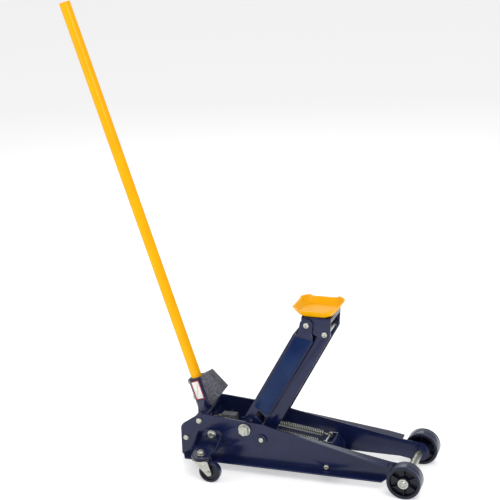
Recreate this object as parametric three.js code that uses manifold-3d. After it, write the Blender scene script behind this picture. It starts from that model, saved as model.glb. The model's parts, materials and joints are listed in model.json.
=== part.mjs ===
// Hydraulic floor jack: a low trolley chassis, a parallelogram lift arm with a swivelling saddle,
// a power unit between the side plates, and a pump handle in a pivoting yoke.
// Millimetres. X runs forward along the chassis, Y to its left and Z up.
// While it is built, X = 0 is the front axle and Z = 0 is the floor.
import * as THREE from 'three';
import { mergeVertices } from 'three/addons/utils/BufferGeometryUtils.js';
import Module from 'manifold-3d';

const wasm = await Module();
wasm.setup();

// ---- fits
const FACE_GAP = 0.5; // between faces that slide or rest on each other
const PIN_FIT = 0.4; // radial clearance of a pin in its hole

// ---- front wheels and axle
const WHEEL_RADIUS = 47.5;
const WHEEL_WIDTH = 42;
const WHEEL_SIDE_GAP = 13; // between a side plate and its wheel
const AXLE_RADIUS = 11;
const AXLE_END_RADIUS = 9;
const WHEEL_WASHER_RADIUS = 14.5;
const WHEEL_WASHER_THICKNESS = 3;

// ---- side plates: pressed channels with their flanges turned outwards
const PLATE_INNER_Y = 71.5;
const PLATE_THICKNESS = 4.5;
const PLATE_REAR_X = -660;
const PLATE_BOTTOM_Z = 28.5;
const PLATE_REAR_TOP_Z = 118;
const PLATE_PEAK_X = -598;
const PLATE_PEAK_Z = 160;
const PLATE_SHOULDER_X = -410;
const PLATE_SHOULDER_Z = 147;
const NOSE_TAPER_START_X = -335;
const NOSE_TAPER_START_Z = 130.5;
const NOSE_TOP_Z = 80.5;
const FLANGE_WHEEL_GAP = 2.5; // between the flanges and the front wheels
const FLANGE_WIDTH = 28;
const FLANGE_TAPER_END_X = -98;
const NOSE_RADIUS = 28;
const AXLE_BOSS_RADIUS = 19;
const AXLE_BOSS_HEIGHT = 7;

// ---- pivots on the side plates, as [x, z]
const LIFT_PIVOT = [-468, 127];
const LINK_PIVOT = [-418, 103];
const YOKE_PIVOT = [-603.5, 139];
const REAR_SPACER = [-645, 83];
const BRACKET_BOLT = [-564.5, 103];
const CROSS_BOLT = [-230, 41.5];
const LIFT_SHAFT_RADIUS = 14;
const LINK_BOLT_RADIUS = 7.5;
const YOKE_BOLT_RADIUS = 6;
const SPACER_RADIUS = 9;
const SMALL_BOLT_RADIUS = 5;
const BRACKET_BOLT_RADIUS = 6;

// ---- lift arm, levelling link and head
const ARM_RUN_X = 181.5; // from pivot to head pin, forward
const ARM_RISE_Z = 321; // from pivot to head pin, up
const LINK_OUTER_Y = 45;
const BAR_THICKNESS = 4.5;
const ARM_ABOVE = 19; // pivot line to the top cover
const ARM_BELOW = 39.5; // pivot line to the lower edge
const ARM_EAR_RADIUS = 19;
const ARM_NECK = 42; // head pin to the end of the top cover
const ARM_BOSS_RADIUS = 30;
const CRANK_RADIUS = 60;
const LINK_HALF_HEIGHT = 16;
const LINK_END_RADIUS = 19;
const LINK_TIE_AT = 0.72; // of the link's length
const LINK_TIE_RADIUS = 8;
const HEEL_OFFSET = [-18, 12]; // from the link pivot, raised
const HEEL_PIN_RADIUS = 4.5;
const HEAD_PIN_RADIUS = 8;
const HEAD_PIN_CAP_RADIUS = 9.5;
const HEAD_PIN_CAP = 3;
const CRANK_PIN_RADIUS = 8;
const ARM_SWING_DEG = 69.5;

// ---- saddle
const SADDLE_HALF = 65;
const SADDLE_BASE_HALF = 45;
const SADDLE_HEIGHT = 22;
const SADDLE_LUG = 5; // the corners stand this much above the rim
const SADDLE_WALL = 4.5;
const SADDLE_FLOOR = 7;
const SADDLE_STEM_RADIUS = 12;
const SADDLE_STEM_LENGTH = 34;
const SADDLE_FORWARD = 20; // of the rear head pin
const HEAD_TOP = 22; // above the rear head pin
const HEAD_PLATE = 5;
const HEAD_REAR = -15;
const HEAD_FRONT = 68;

// ---- casters
const CASTER_X = -568;
const CASTER_OFFSET = 87; // from a side plate's outer face to the swivel axis
const CASTER_TRAIL = 26;
const CASTER_RADIUS = 31;
const CASTER_WIDTH = 23;
const CASTER_LEG = 3;
const SHELF_TOP_Z = 78;
const SHELF_THICKNESS = 5;
const SHELF_END_RADIUS = 27;
const SHELF_REAR_X = -608;
const SHELF_FRONT_X = -534;
const CASTER_STEM_RADIUS = 6;
const CASTER_AXLE_RADIUS = 4.5;

// ---- front cross member and its spring tower
const CROSS_REAR_X = -258;
const CROSS_FRONT_X = -202;
const CROSS_BASE_Z = 31;
const CROSS_THICKNESS = 5;
const CROSS_EAR_RADIUS = 10.4;
const TOWER_HALF_Y = 36;
const TOWER_TOP_Z = 97;
const SPRING_ROD_RADIUS = 4;
const SPRING_ROD = [-247, 91];
const SPRING_Y = 28;
const SPRING_RADIUS = 8.8;
const SPRING_WIRE = 2.1;

// ---- power unit
const UNIT_REAR_X = -628;
const UNIT_BLOCK_LENGTH = 42;
const UNIT_HALF_Y = 34;
const UNIT_BASE_Z = 42;
const UNIT_TOP_Z = 104;
const RESERVOIR_FRONT_X = -530;
const RESERVOIR_RADIUS = 34;
const RAM_RADIUS = 13;
const GLAND_RADIUS = 20;
const GLAND_LENGTH = 6;
const CLEVIS_HALF_Y = 15;
const CLEVIS_LENGTH = 30;
const CLEVIS_HALF_Z = 22;
const PLUNGER_DROP = 26; // of the cam roller under the yoke pivot
const PLUNGER_Y = 22;
const PLUNGER_RADIUS = 6;
const ROLLER_RADIUS = 8;
const ROLLER_GAP = 1.8; // between the cam roller and the plunger at rest
const PLUNGER_LENGTH = 42;
const PUMP_STROKE_DEG = 50; // of the handle, downwards
const SPINDLE_RADIUS = 5;
const SPINDLE_START = 6; // below the yoke pivot, along the handle axis
const SPINDLE_END = 44;
const FILLER_X = -552;
const FILLER_Y = -6;
const FILLER_RADIUS = 6;

// ---- yoke and handle
const HANDLE_LEAN_DEG = 17.45;
const CROSSBAR_RADIUS = 17;
const SOCKET_RADIUS = 23;
const SOCKET_START = 12; // along the handle axis from the yoke pivot
const SOCKET_END = 106;
const HANDLE_RADIUS = 15.5;
const HANDLE_START = 34;
const HANDLE_END = 1222;
const HANDLE_WALL = 2.5;
const NOSE_HALF_Y = 17;
const RELEASE_ROD_RADIUS = 6.5;
const SET_SCREW_RADIUS = 5;
const LABEL_SIZE = [56, 25, 1.2]; // height, width, thickness
const LABEL_MIDDLE = 72; // along the handle axis
const SET_SCREW_AT = [46, 95]; // along the handle axis

// ---- finishes
const finish = (color, roughness, metalness) => new THREE.MeshStandardMaterial({ color, roughness, metalness });
const FINISHES = {
  navy: () => finish(0x1b2550, 0.3, 0.1),
  yellow: () => finish(0xf6ae12, 0.28, 0.0),
  zinc: () => finish(0xc9ccc8, 0.32, 0.9),
  steel: () => finish(0x8d9094, 0.3, 0.95),
  cast: () => finish(0x6f7276, 0.75, 0.4),
  wheel: () => finish(0x14182c, 0.4, 0.05),
  brass: () => finish(0xa88a48, 0.4, 0.85),
  label: () => finish(0xf2f0ec, 0.45, 0.0),
};

// ---- solid helpers
const clean = (geometry) => {
  geometry.deleteAttribute('normal');
  geometry.deleteAttribute('uv');
  return mergeVertices(geometry, 1e-4);
};

function solid(geometry) {
  const merged = clean(geometry.index ? geometry : mergeVertices(geometry));
  const vertProperties = new Float32Array(merged.attributes.position.array);
  const triVerts = new Uint32Array(merged.index.array);
  return new wasm.Manifold(new wasm.Mesh({ numProp: 3, vertProperties, triVerts }));
}

function toGeometry(body) {
  const data = body.getMesh();
  const geometry = new THREE.BufferGeometry();
  geometry.setAttribute('position', new THREE.BufferAttribute(new Float32Array(data.vertProperties), 3));
  geometry.setIndex(new THREE.BufferAttribute(new Uint32Array(data.triVerts), 1));
  geometry.computeVertexNormals();
  return geometry;
}

const join = (...bodies) => bodies.reduce((whole, body) => whole.add(body));
const cut = (body, ...tools) => tools.reduce((whole, tool) => whole.subtract(tool), body);

function piece(name, look, body) {
  const mesh = new THREE.Mesh(toGeometry(body), FINISHES[look]());
  mesh.name = name;
  return mesh;
}

function group(position, rotation, ...members) {
  const holder = new THREE.Group();
  holder.position.set(...position);
  holder.rotation.set(...rotation);
  holder.add(...members);
  return holder;
}

const box = (x0, x1, y0, y1, z0, z1) => {
  const block = new THREE.BoxGeometry(x1 - x0, y1 - y0, z1 - z0);
  return solid(block.translate((x0 + x1) / 2, (y0 + y1) / 2, (z0 + z1) / 2));
};

const SIDES = 16;
const rodY = (x, z, r, y0, y1, sides = SIDES) =>
  solid(new THREE.CylinderGeometry(r, r, y1 - y0, sides).translate(x, (y0 + y1) / 2, z));
const rodX = (y, z, r, x0, x1, sides = SIDES) =>
  solid(new THREE.CylinderGeometry(r, r, x1 - x0, sides).rotateZ(-Math.PI / 2).translate((x0 + x1) / 2, y, z));
const rodZ = (x, y, r, z0, z1, sides = SIDES) =>
  solid(new THREE.CylinderGeometry(r, r, z1 - z0, sides).rotateX(Math.PI / 2).translate(x, y, (z0 + z1) / 2));

// A profile drawn in X and Z, given thickness along Y.
function slabY(shape, y0, y1, curveSegments = 6) {
  const geometry = new THREE.ExtrudeGeometry(shape, { depth: y1 - y0, bevelEnabled: false, curveSegments });
  return solid(geometry.rotateX(Math.PI / 2).translate(0, y1, 0));
}

// A profile drawn in X and Y, given thickness along Z.
function slabZ(shape, z0, z1, curveSegments = 6) {
  const geometry = new THREE.ExtrudeGeometry(shape, { depth: z1 - z0, bevelEnabled: false, curveSegments });
  return solid(geometry.translate(0, 0, z0));
}

const outline = (...points) => new THREE.Shape(points.map(([a, b]) => new THREE.Vector2(a, b)));

// The outline of a bar with round ends of radii r0 and r1 at its two centres.
function barOutline([x0, z0], [x1, z1], r0, r1) {
  const along = Math.atan2(z1 - z0, x1 - x0);
  const lean = Math.acos((r0 - r1) / Math.hypot(x1 - x0, z1 - z0));
  const shape = new THREE.Shape();
  shape.absarc(x0, z0, r0, along + lean, along - lean + 2 * Math.PI, false);
  shape.absarc(x1, z1, r1, along - lean, along + lean, false);
  return shape;
}

const disc = ([x, z], radius) => new THREE.Shape().absarc(x, z, radius, 0, 2 * Math.PI, false);

// A turned body about the Y axis, from [radius, y] points that close on themselves.
function turnedY(points, sides = 24) {
  const closed = [...points, points[0]].map(([r, y]) => new THREE.Vector2(r, y));
  return solid(new THREE.LatheGeometry(closed, sides));
}

// A closed body through level loops of [x, y, z] points, with a flat fan over each end.
function loft(loops) {
  const count = loops[0].length;
  const positions = loops.flat(2);
  const index = [];
  loops.slice(1).forEach((_, level) => {
    for (let i = 0; i < count; i += 1) {
      const a = level * count + i;
      const b = level * count + ((i + 1) % count);
      index.push(a, b, b + count, a, b + count, a + count);
    }
  });
  [[loops[0], 0, true], [loops.at(-1), (loops.length - 1) * count, false]].forEach(([loop, start, flip]) => {
    const centre = [0, 1, 2].map((k) => loop.reduce((sum, p) => sum + p[k], 0) / count);
    const hub = positions.length / 3;
    positions.push(...centre);
    for (let i = 0; i < count; i += 1) {
      const a = start + i;
      const b = start + ((i + 1) % count);
      index.push(hub, flip ? b : a, flip ? a : b);
    }
  });
  const geometry = new THREE.BufferGeometry();
  geometry.setAttribute('position', new THREE.Float32BufferAttribute(positions, 3));
  geometry.setIndex(index);
  return solid(geometry);
}

// A hexagon head with its round washer face, standing out along +Y or -Y from face y.
function hexHead(x, z, y, side, radius, height, washerRadius, washerHeight) {
  const spans = (from, to) => [Math.min(side * from, side * to), Math.max(side * from, side * to)];
  const flange = rodY(x, z, washerRadius, ...spans(y, y + washerHeight));
  return join(flange, rodY(x, z, radius, ...spans(y + washerHeight - 0.2, y + washerHeight + height), 6));
}

const LEFT = 1;
const RIGHT = -1;
const SIDE_NAMES = new Map([[LEFT, 'left'], [RIGHT, 'right']]);
const eachSide = (make) => [LEFT, RIGHT].flatMap((side) => make(side, SIDE_NAMES.get(side)));
const ySpan = (side, inner, outer) => (side > 0 ? [inner, outer] : [-outer, -inner]);

// ---- derived places
const PLATE_OUTER_Y = PLATE_INNER_Y + PLATE_THICKNESS;
const WHEEL_OUTER_Y = PLATE_OUTER_Y + WHEEL_SIDE_GAP + WHEEL_WIDTH;
const FLANGE_END_X = -WHEEL_RADIUS - FLANGE_WHEEL_GAP;
const CASTER_Y = PLATE_OUTER_Y + CASTER_OFFSET;
const LABEL_LOW = LABEL_MIDDLE - LABEL_SIZE[0] / 2;
const HEAD_OUTER_Y = LINK_OUTER_Y + FACE_GAP + BAR_THICKNESS;
const ARM_OUTER_Y = HEAD_OUTER_Y + FACE_GAP + BAR_THICKNESS;
const LINK_INNER_Y = LINK_OUTER_Y - BAR_THICKNESS;
const HEAD_INNER_Y = HEAD_OUTER_Y - BAR_THICKNESS;
const ARM_INNER_Y = ARM_OUTER_Y - BAR_THICKNESS;
const ARM_LENGTH = Math.hypot(ARM_RUN_X, ARM_RISE_Z);
const ARM_ANGLE = Math.atan2(ARM_RISE_Z, ARM_RUN_X);
const CRANK_ANGLE = (-Math.PI + THREE.MathUtils.degToRad(ARM_SWING_DEG)) / 2;
const CRANK_PIN = [
  LIFT_PIVOT[0] + CRANK_RADIUS * Math.cos(CRANK_ANGLE),
  LIFT_PIVOT[1] + CRANK_RADIUS * Math.sin(CRANK_ANGLE),
];
const CRANK_DIP = CRANK_RADIUS * (1 + Math.sin(CRANK_ANGLE));
const REAR_HEAD_PIN = [LIFT_PIVOT[0] + ARM_RUN_X, LIFT_PIVOT[1] + ARM_RISE_Z];
const HEAD_PIN_STEP = [LINK_PIVOT[0] - LIFT_PIVOT[0], LINK_PIVOT[1] - LIFT_PIVOT[1]];
const RAM_Z = CRANK_PIN[1] - CRANK_DIP / 2;

// ---- chassis
function plateOutline() {
  const shape = new THREE.Shape();
  const corner = 8;
  shape.moveTo(PLATE_REAR_X + corner, PLATE_BOTTOM_Z);
  shape.quadraticCurveTo(PLATE_REAR_X, PLATE_BOTTOM_Z, PLATE_REAR_X, PLATE_BOTTOM_Z + corner);
  shape.lineTo(PLATE_REAR_X, PLATE_REAR_TOP_Z - corner);
  shape.quadraticCurveTo(PLATE_REAR_X, PLATE_REAR_TOP_Z, PLATE_REAR_X + corner, PLATE_REAR_TOP_Z + corner);
  shape.lineTo(PLATE_PEAK_X - 2 * corner, PLATE_PEAK_Z - corner);
  shape.quadraticCurveTo(PLATE_PEAK_X, PLATE_PEAK_Z + 1, PLATE_PEAK_X + 2 * corner, PLATE_PEAK_Z);
  shape.lineTo(PLATE_SHOULDER_X, PLATE_SHOULDER_Z);
  const middle = (PLATE_SHOULDER_X + NOSE_TAPER_START_X) / 2;
  shape.quadraticCurveTo(middle, NOSE_TAPER_START_Z + 5, NOSE_TAPER_START_X, NOSE_TAPER_START_Z);
  shape.lineTo(FLANGE_END_X, NOSE_TOP_Z);
  const tipDistance = Math.hypot(FLANGE_END_X, NOSE_TOP_Z - WHEEL_RADIUS);
  const rise = Math.asin((NOSE_TOP_Z - WHEEL_RADIUS) / tipDistance);
  const reach = Math.acos(NOSE_RADIUS / tipDistance);
  shape.absarc(0, WHEEL_RADIUS, NOSE_RADIUS, Math.PI - rise - reach, -Math.PI / 2 - 0.25, true);
  shape.lineTo(FLANGE_END_X - 6, PLATE_BOTTOM_Z);
  shape.closePath();
  return shape;
}

const topLineZ = (x) =>
  NOSE_TAPER_START_Z +
  ((x - NOSE_TAPER_START_X) * (NOSE_TOP_Z - NOSE_TAPER_START_Z)) / (FLANGE_END_X - NOSE_TAPER_START_X);

function bottomFlange(side) {
  const inner = side * (PLATE_OUTER_Y - 1);
  const outer = side * (PLATE_OUTER_Y + FLANGE_WIDTH);
  const chamfer = 18;
  const plan = outline(
    [PLATE_REAR_X + 4, inner],
    [PLATE_REAR_X + chamfer, outer],
    [FLANGE_END_X - chamfer, outer],
    [FLANGE_END_X - 6, inner],
  );
  return slabZ(plan, PLATE_BOTTOM_Z, PLATE_BOTTOM_Z + PLATE_THICKNESS);
}

function topFlange(side) {
  const inner = side * (PLATE_OUTER_Y - 1);
  const strip = outline(
    [NOSE_TAPER_START_X, topLineZ(NOSE_TAPER_START_X)],
    [FLANGE_END_X, NOSE_TOP_Z],
    [FLANGE_END_X, NOSE_TOP_Z - PLATE_THICKNESS],
    [NOSE_TAPER_START_X, topLineZ(NOSE_TAPER_START_X) - PLATE_THICKNESS],
  );
  const plan = outline(
    [NOSE_TAPER_START_X + 4, inner],
    [NOSE_TAPER_START_X + 4, side * (PLATE_OUTER_Y + 1)],
    [FLANGE_TAPER_END_X, side * (PLATE_OUTER_Y + FLANGE_WIDTH)],
    [FLANGE_END_X - 0.5, side * (PLATE_OUTER_Y + FLANGE_WIDTH)],
    [FLANGE_END_X - 0.5, inner],
  );
  const band = slabY(strip, ...ySpan(side, PLATE_OUTER_Y - 1, PLATE_OUTER_Y + FLANGE_WIDTH));
  return band.intersect(slabZ(plan, 0, PLATE_PEAK_Z));
}

function sidePlate(side, word) {
  const web = slabY(plateOutline(), ...ySpan(side, PLATE_INNER_Y, PLATE_OUTER_Y));
  const bossSpan = ySpan(side, PLATE_INNER_Y - AXLE_BOSS_HEIGHT, PLATE_OUTER_Y + 3);
  const boss = rodY(0, WHEEL_RADIUS, AXLE_BOSS_RADIUS, ...bossSpan);
  const reach = ySpan(side, PLATE_INNER_Y - AXLE_BOSS_HEIGHT - 1, PLATE_OUTER_Y + 4);
  const holes = [
    [[0, WHEEL_RADIUS], AXLE_RADIUS],
    [LIFT_PIVOT, LIFT_SHAFT_RADIUS],
    [LINK_PIVOT, LINK_BOLT_RADIUS],
    [YOKE_PIVOT, YOKE_BOLT_RADIUS],
    [REAR_SPACER, SMALL_BOLT_RADIUS],
    [BRACKET_BOLT, BRACKET_BOLT_RADIUS],
    [CROSS_BOLT, SMALL_BOLT_RADIUS],
  ].map(([[x, z], r]) => rodY(x, z, r + PIN_FIT, ...reach));
  const pressing = join(web, bottomFlange(side), topFlange(side), boss);
  return piece(`side_plate_${word}`, 'navy', cut(pressing, ...holes));
}

function crossMember() {
  const half = PLATE_INNER_Y - FACE_GAP;
  const base = box(CROSS_REAR_X, CROSS_FRONT_X, -half, half, CROSS_BASE_Z, CROSS_BASE_Z + CROSS_THICKNESS);
  const ears = eachSide((side) => [slabY(disc(CROSS_BOLT, CROSS_EAR_RADIUS), ...ySpan(side, half - 14, half))]);
  const profile = outline(
    [CROSS_REAR_X + 2, CROSS_BASE_Z + 1],
    [CROSS_REAR_X + 2, TOWER_TOP_Z - 14],
    [CROSS_REAR_X + 9, TOWER_TOP_Z],
    [CROSS_REAR_X + 32, TOWER_TOP_Z],
    [CROSS_FRONT_X - 4, TOWER_TOP_Z - 26],
    [CROSS_FRONT_X - 4, CROSS_BASE_Z + 1],
  );
  const tower = slabY(profile, -TOWER_HALF_Y, TOWER_HALF_Y);
  const bayHalf = TOWER_HALF_Y - CROSS_THICKNESS;
  const hollow = [-bayHalf, bayHalf, CROSS_BASE_Z + CROSS_THICKNESS, TOWER_TOP_Z + 1];
  const bay = box(CROSS_REAR_X, SPRING_ROD[0] + 20, ...hollow);
  const under = box(SPRING_ROD[0] + 26, CROSS_FRONT_X, ...hollow);
  const rodHole = rodY(...SPRING_ROD, SPRING_ROD_RADIUS + PIN_FIT, -TOWER_HALF_Y - 1, TOWER_HALF_Y + 1, 16);
  const boltHoles = eachSide((side) => [
    rodY(...CROSS_BOLT, SMALL_BOLT_RADIUS + PIN_FIT, ...ySpan(side, half - 30, half + 1), 16),
  ]);
  const pressing = join(base, ...ears, cut(tower, bay, under));
  return piece('front_cross_member', 'navy', cut(pressing, rodHole, ...boltHoles));
}

// A short bolt through one side plate, with its head outside.
function plateBolt(name, [x, z], side, { radius, innerY, headRadius }) {
  const face = PLATE_OUTER_Y + 0.3;
  const shank = rodY(x, z, radius, ...ySpan(side, innerY, face + 1));
  return piece(name, 'zinc', join(shank, hexHead(x, z, face, side, headRadius, 4, headRadius + 0.5, 2)));
}

function frontAxle() {
  const middle = PLATE_OUTER_Y + 3 + 1;
  const end = WHEEL_OUTER_Y + WHEEL_WASHER_THICKNESS + 2;
  const shaft = join(
    rodY(0, WHEEL_RADIUS, AXLE_RADIUS, -middle, middle),
    rodY(0, WHEEL_RADIUS, AXLE_END_RADIUS, -end, end),
  );
  return piece('front_axle', 'zinc', shaft);
}

function frontWheel(side, word) {
  const half = WHEEL_WIDTH / 2;
  const hub = 16;
  const rim = WHEEL_RADIUS - 8.5;
  const recess = 15;
  const edge = 3;
  const body = turnedY([
    [AXLE_END_RADIUS + PIN_FIT, -half],
    [hub, -half],
    [hub + 1.5, -half + recess],
    [rim - 1.5, -half + recess],
    [rim, -half],
    [WHEEL_RADIUS - edge, -half],
    [WHEEL_RADIUS, -half + edge],
    [WHEEL_RADIUS, half - edge],
    [WHEEL_RADIUS - edge, half],
    [rim, half],
    [rim - 1.5, half - recess],
    [hub + 1.5, half - recess],
    [hub, half],
    [AXLE_END_RADIUS + PIN_FIT, half],
  ], 36);
  const ribs = [];
  const ribCount = 6;
  for (let i = 0; i < ribCount; i += 1) {
    const rib = box(hub - 1, rim + 1, -half + 3, half - 3, -1.6, 1.6);
    ribs.push(rib.rotate([0, (360 / ribCount) * i + 30, 0]));
  }
  const wheel = piece(`front_wheel_${word}`, 'wheel', join(body, ...ribs));
  wheel.position.set(0, side * (WHEEL_OUTER_Y - half), WHEEL_RADIUS);
  return wheel;
}

function wheelWasher(side, word) {
  const inner = WHEEL_OUTER_Y + FACE_GAP;
  const ring = cut(
    rodY(0, WHEEL_RADIUS, WHEEL_WASHER_RADIUS, ...ySpan(side, inner, inner + WHEEL_WASHER_THICKNESS)),
    rodY(0, WHEEL_RADIUS, AXLE_END_RADIUS + PIN_FIT, ...ySpan(side, WHEEL_OUTER_Y - 1, inner + 5)),
  );
  return piece(`wheel_retainer_${word}`, 'zinc', ring);
}

// ---- casters
function casterBracket(side, word) {
  const back = PLATE_OUTER_Y + FACE_GAP;
  const backPlate = outline(
    [SHELF_REAR_X, SHELF_TOP_Z - SHELF_THICKNESS],
    [SHELF_REAR_X + 2, SHELF_TOP_Z + 4],
    [SHELF_REAR_X + 26, SHELF_TOP_Z + 40],
    [SHELF_FRONT_X - 8, SHELF_TOP_Z + 40],
    [SHELF_FRONT_X, SHELF_TOP_Z + 30],
    [SHELF_FRONT_X, SHELF_TOP_Z - SHELF_THICKNESS],
  );
  const wall = slabY(backPlate, ...ySpan(side, back, back + 4.5));
  const shelfPlan = new THREE.Shape();
  shelfPlan.moveTo(SHELF_REAR_X, side * (back + 1));
  shelfPlan.lineTo(SHELF_FRONT_X, side * (back + 1));
  shelfPlan.absarc(CASTER_X, side * CASTER_Y, SHELF_END_RADIUS, 0, side * Math.PI, side < 0);
  const shelf = slabZ(shelfPlan, SHELF_TOP_Z - SHELF_THICKNESS, SHELF_TOP_Z);
  const gussets = [SHELF_REAR_X, SHELF_FRONT_X - 4].map((x) => {
    const shape = outline(
      [side * (back + 2), SHELF_TOP_Z - 1],
      [side * (CASTER_Y - 20), SHELF_TOP_Z - 1],
      [side * (CASTER_Y - 26), SHELF_TOP_Z + 3],
      [side * (back + 2), SHELF_TOP_Z + 28],
    );
    const geometry = new THREE.ExtrudeGeometry(shape, { depth: 4, bevelEnabled: false });
    return solid(geometry.rotateX(Math.PI / 2).rotateZ(Math.PI / 2).translate(x, 0, 0));
  });
  const boltHole = rodY(...BRACKET_BOLT, BRACKET_BOLT_RADIUS + PIN_FIT, ...ySpan(side, back - 1, back + 6));
  const stemRadius = CASTER_STEM_RADIUS + PIN_FIT;
  const stemHole = rodZ(CASTER_X, side * CASTER_Y, stemRadius, SHELF_TOP_Z - 8, SHELF_TOP_Z + 2);
  return piece(`caster_bracket_${word}`, 'navy', cut(join(wall, shelf, ...gussets), boltHole, stemHole));
}

// Caster pieces are drawn about their swivel axis, at the floor.
const CASTER_WHEEL_X = CASTER_TRAIL;
const FORK_TOP_Z = SHELF_TOP_Z - SHELF_THICKNESS - 2.5;
const FORK_INNER_Y = CASTER_WIDTH / 2 + 2;

function casterFork(word) {
  const outer = FORK_INNER_Y + CASTER_LEG;
  const bore = CASTER_STEM_RADIUS + PIN_FIT;
  const crown = turnedY([[bore, 0], [24, 0], [24, 4], [17, 8], [bore, 8]]);
  const dome = crown.rotate([90, 0, 0]).translate([0, 0, FORK_TOP_Z - 8]);
  const bridge = box(-21, 24, -outer, outer, FORK_TOP_Z - 8, FORK_TOP_Z - 5);
  const legShape = new THREE.Shape();
  legShape.moveTo(-21, FORK_TOP_Z - 5.5);
  legShape.lineTo(CASTER_WHEEL_X - 8, CASTER_RADIUS - 4);
  legShape.absarc(CASTER_WHEEL_X, CASTER_RADIUS, 8.5, Math.PI + 0.5, 0, false);
  legShape.lineTo(24, FORK_TOP_Z - 5.5);
  legShape.closePath();
  const legs = [slabY(legShape, FORK_INNER_Y, outer), slabY(legShape, -outer, -FORK_INNER_Y)];
  const stem = rodZ(0, 0, bore, FORK_TOP_Z - 12, FORK_TOP_Z + 2);
  const axle = rodY(CASTER_WHEEL_X, CASTER_RADIUS, CASTER_AXLE_RADIUS + PIN_FIT, -outer - 1, outer + 1);
  return piece(`caster_fork_${word}`, 'zinc', cut(join(dome, bridge, ...legs), stem, axle));
}

function casterStem(word) {
  const shank = rodZ(0, 0, CASTER_STEM_RADIUS, FORK_TOP_Z - 11, SHELF_TOP_Z + 1);
  const washer = rodZ(0, 0, 12, SHELF_TOP_Z + 0.4, SHELF_TOP_Z + 2.4);
  const nut = rodZ(0, 0, 11, SHELF_TOP_Z + 2, SHELF_TOP_Z + 14, 6);
  const foot = rodZ(0, 0, 9, FORK_TOP_Z - 11.5, FORK_TOP_Z - 8.5);
  return piece(`caster_bolt_${word}`, 'zinc', join(shank, washer, nut, foot));
}

function casterWheel(word) {
  const half = CASTER_WIDTH / 2;
  const body = turnedY([
    [CASTER_AXLE_RADIUS + PIN_FIT, -half],
    [10, -half],
    [11, -half + 5],
    [CASTER_RADIUS - 7, -half + 5],
    [CASTER_RADIUS - 6, -half + 1],
    [CASTER_RADIUS - 2.5, -half + 1],
    [CASTER_RADIUS, -half + 4],
    [CASTER_RADIUS, half - 4],
    [CASTER_RADIUS - 2.5, half - 1],
    [CASTER_RADIUS - 6, half - 1],
    [CASTER_RADIUS - 7, half - 5],
    [11, half - 5],
    [10, half],
    [CASTER_AXLE_RADIUS + PIN_FIT, half],
  ], 28);
  const wheel = piece(`caster_wheel_${word}`, 'wheel', body);
  wheel.position.set(CASTER_WHEEL_X, 0, CASTER_RADIUS);
  return wheel;
}

function casterAxle(word) {
  const end = FORK_INNER_Y + CASTER_LEG + 0.4;
  const shaft = rodY(CASTER_WHEEL_X, CASTER_RADIUS, CASTER_AXLE_RADIUS, -end - 1, end + 1, 16);
  const head = (from, to) => rodY(CASTER_WHEEL_X, CASTER_RADIUS, CASTER_AXLE_RADIUS + 2.5, from, to);
  const heads = [head(end, end + 3), head(-end - 3, -end)];
  return piece(`caster_axle_${word}`, 'zinc', join(shaft, ...heads));
}

// ---- lift arm, drawn along +X from its pivot
const atAngle = (radius, angle) => [radius * Math.cos(angle), radius * Math.sin(angle)];
const CRANK_LOCAL = atAngle(CRANK_RADIUS, CRANK_ANGLE - ARM_ANGLE);
const LINK_BOLT_ORBIT = Math.hypot(...HEAD_PIN_STEP);
const NOTCH_HALF = LINK_BOLT_RADIUS + 2;
const LINK_BOLT_START = Math.atan2(HEAD_PIN_STEP[1], HEAD_PIN_STEP[0]) - ARM_ANGLE;
const NOTCH_ENTRY = NOTCH_HALF / LINK_BOLT_ORBIT;

function armNotch() {
  const swing = THREE.MathUtils.degToRad(ARM_SWING_DEG);
  const from = LINK_BOLT_START - NOTCH_ENTRY;
  const to = LINK_BOLT_START + swing + NOTCH_ENTRY + 0.03;
  const shape = new THREE.Shape();
  shape.absarc(0, 0, LINK_BOLT_ORBIT + NOTCH_HALF, from, to, false);
  shape.absarc(0, 0, LINK_BOLT_ORBIT - NOTCH_HALF, to, from, true);
  shape.closePath();
  return shape;
}

function liftArm() {
  const coverEnd = ARM_LENGTH - ARM_NECK;
  const ear = new THREE.Shape();
  ear.moveTo(10, ARM_ABOVE);
  ear.lineTo(coverEnd, ARM_ABOVE);
  ear.lineTo(coverEnd + 2, ARM_ABOVE - 8);
  ear.lineTo(coverEnd + 14, ARM_ABOVE - 8);
  ear.absarc(ARM_LENGTH, 0, ARM_EAR_RADIUS, 2.1, -0.9, true);
  ear.lineTo(ARM_LENGTH - 12, -ARM_BELOW + 16);
  ear.lineTo(ARM_LENGTH - 34, -ARM_BELOW);
  ear.lineTo(20, -ARM_BELOW);
  ear.lineTo(-6, 0);
  ear.closePath();
  const cheeks = eachSide((side) => {
    const span = ySpan(side, ARM_INNER_Y, ARM_OUTER_Y);
    const notch = slabY(armNotch(), ...ySpan(side, ARM_INNER_Y - 1, ARM_OUTER_Y + 1));
    const panel = cut(slabY(ear, ...span), notch);
    const boss = slabY(disc([0, 0], ARM_BOSS_RADIUS), ...span);
    const lobe = slabY(barOutline([0, 0], CRANK_LOCAL, 22, 15), ...span);
    return [join(panel, boss, lobe)];
  });
  const cover = box(40, coverEnd, -ARM_OUTER_Y + 1, ARM_OUTER_Y - 1, ARM_ABOVE - BAR_THICKNESS, ARM_ABOVE);
  const reach = [-ARM_OUTER_Y - 1, ARM_OUTER_Y + 1];
  const holes = [
    rodY(0, 0, LIFT_SHAFT_RADIUS + PIN_FIT, ...reach),
    rodY(...CRANK_LOCAL, CRANK_PIN_RADIUS + PIN_FIT, ...reach),
    rodY(ARM_LENGTH, 0, HEAD_PIN_RADIUS + PIN_FIT, ...reach),
  ];
  return piece('lift_arm', 'navy', cut(join(cover, ...cheeks), ...holes));
}

function crankPin() {
  return piece('crank_pin', 'steel', rodY(...CRANK_LOCAL, CRANK_PIN_RADIUS, -ARM_OUTER_Y, ARM_OUTER_Y));
}

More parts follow.
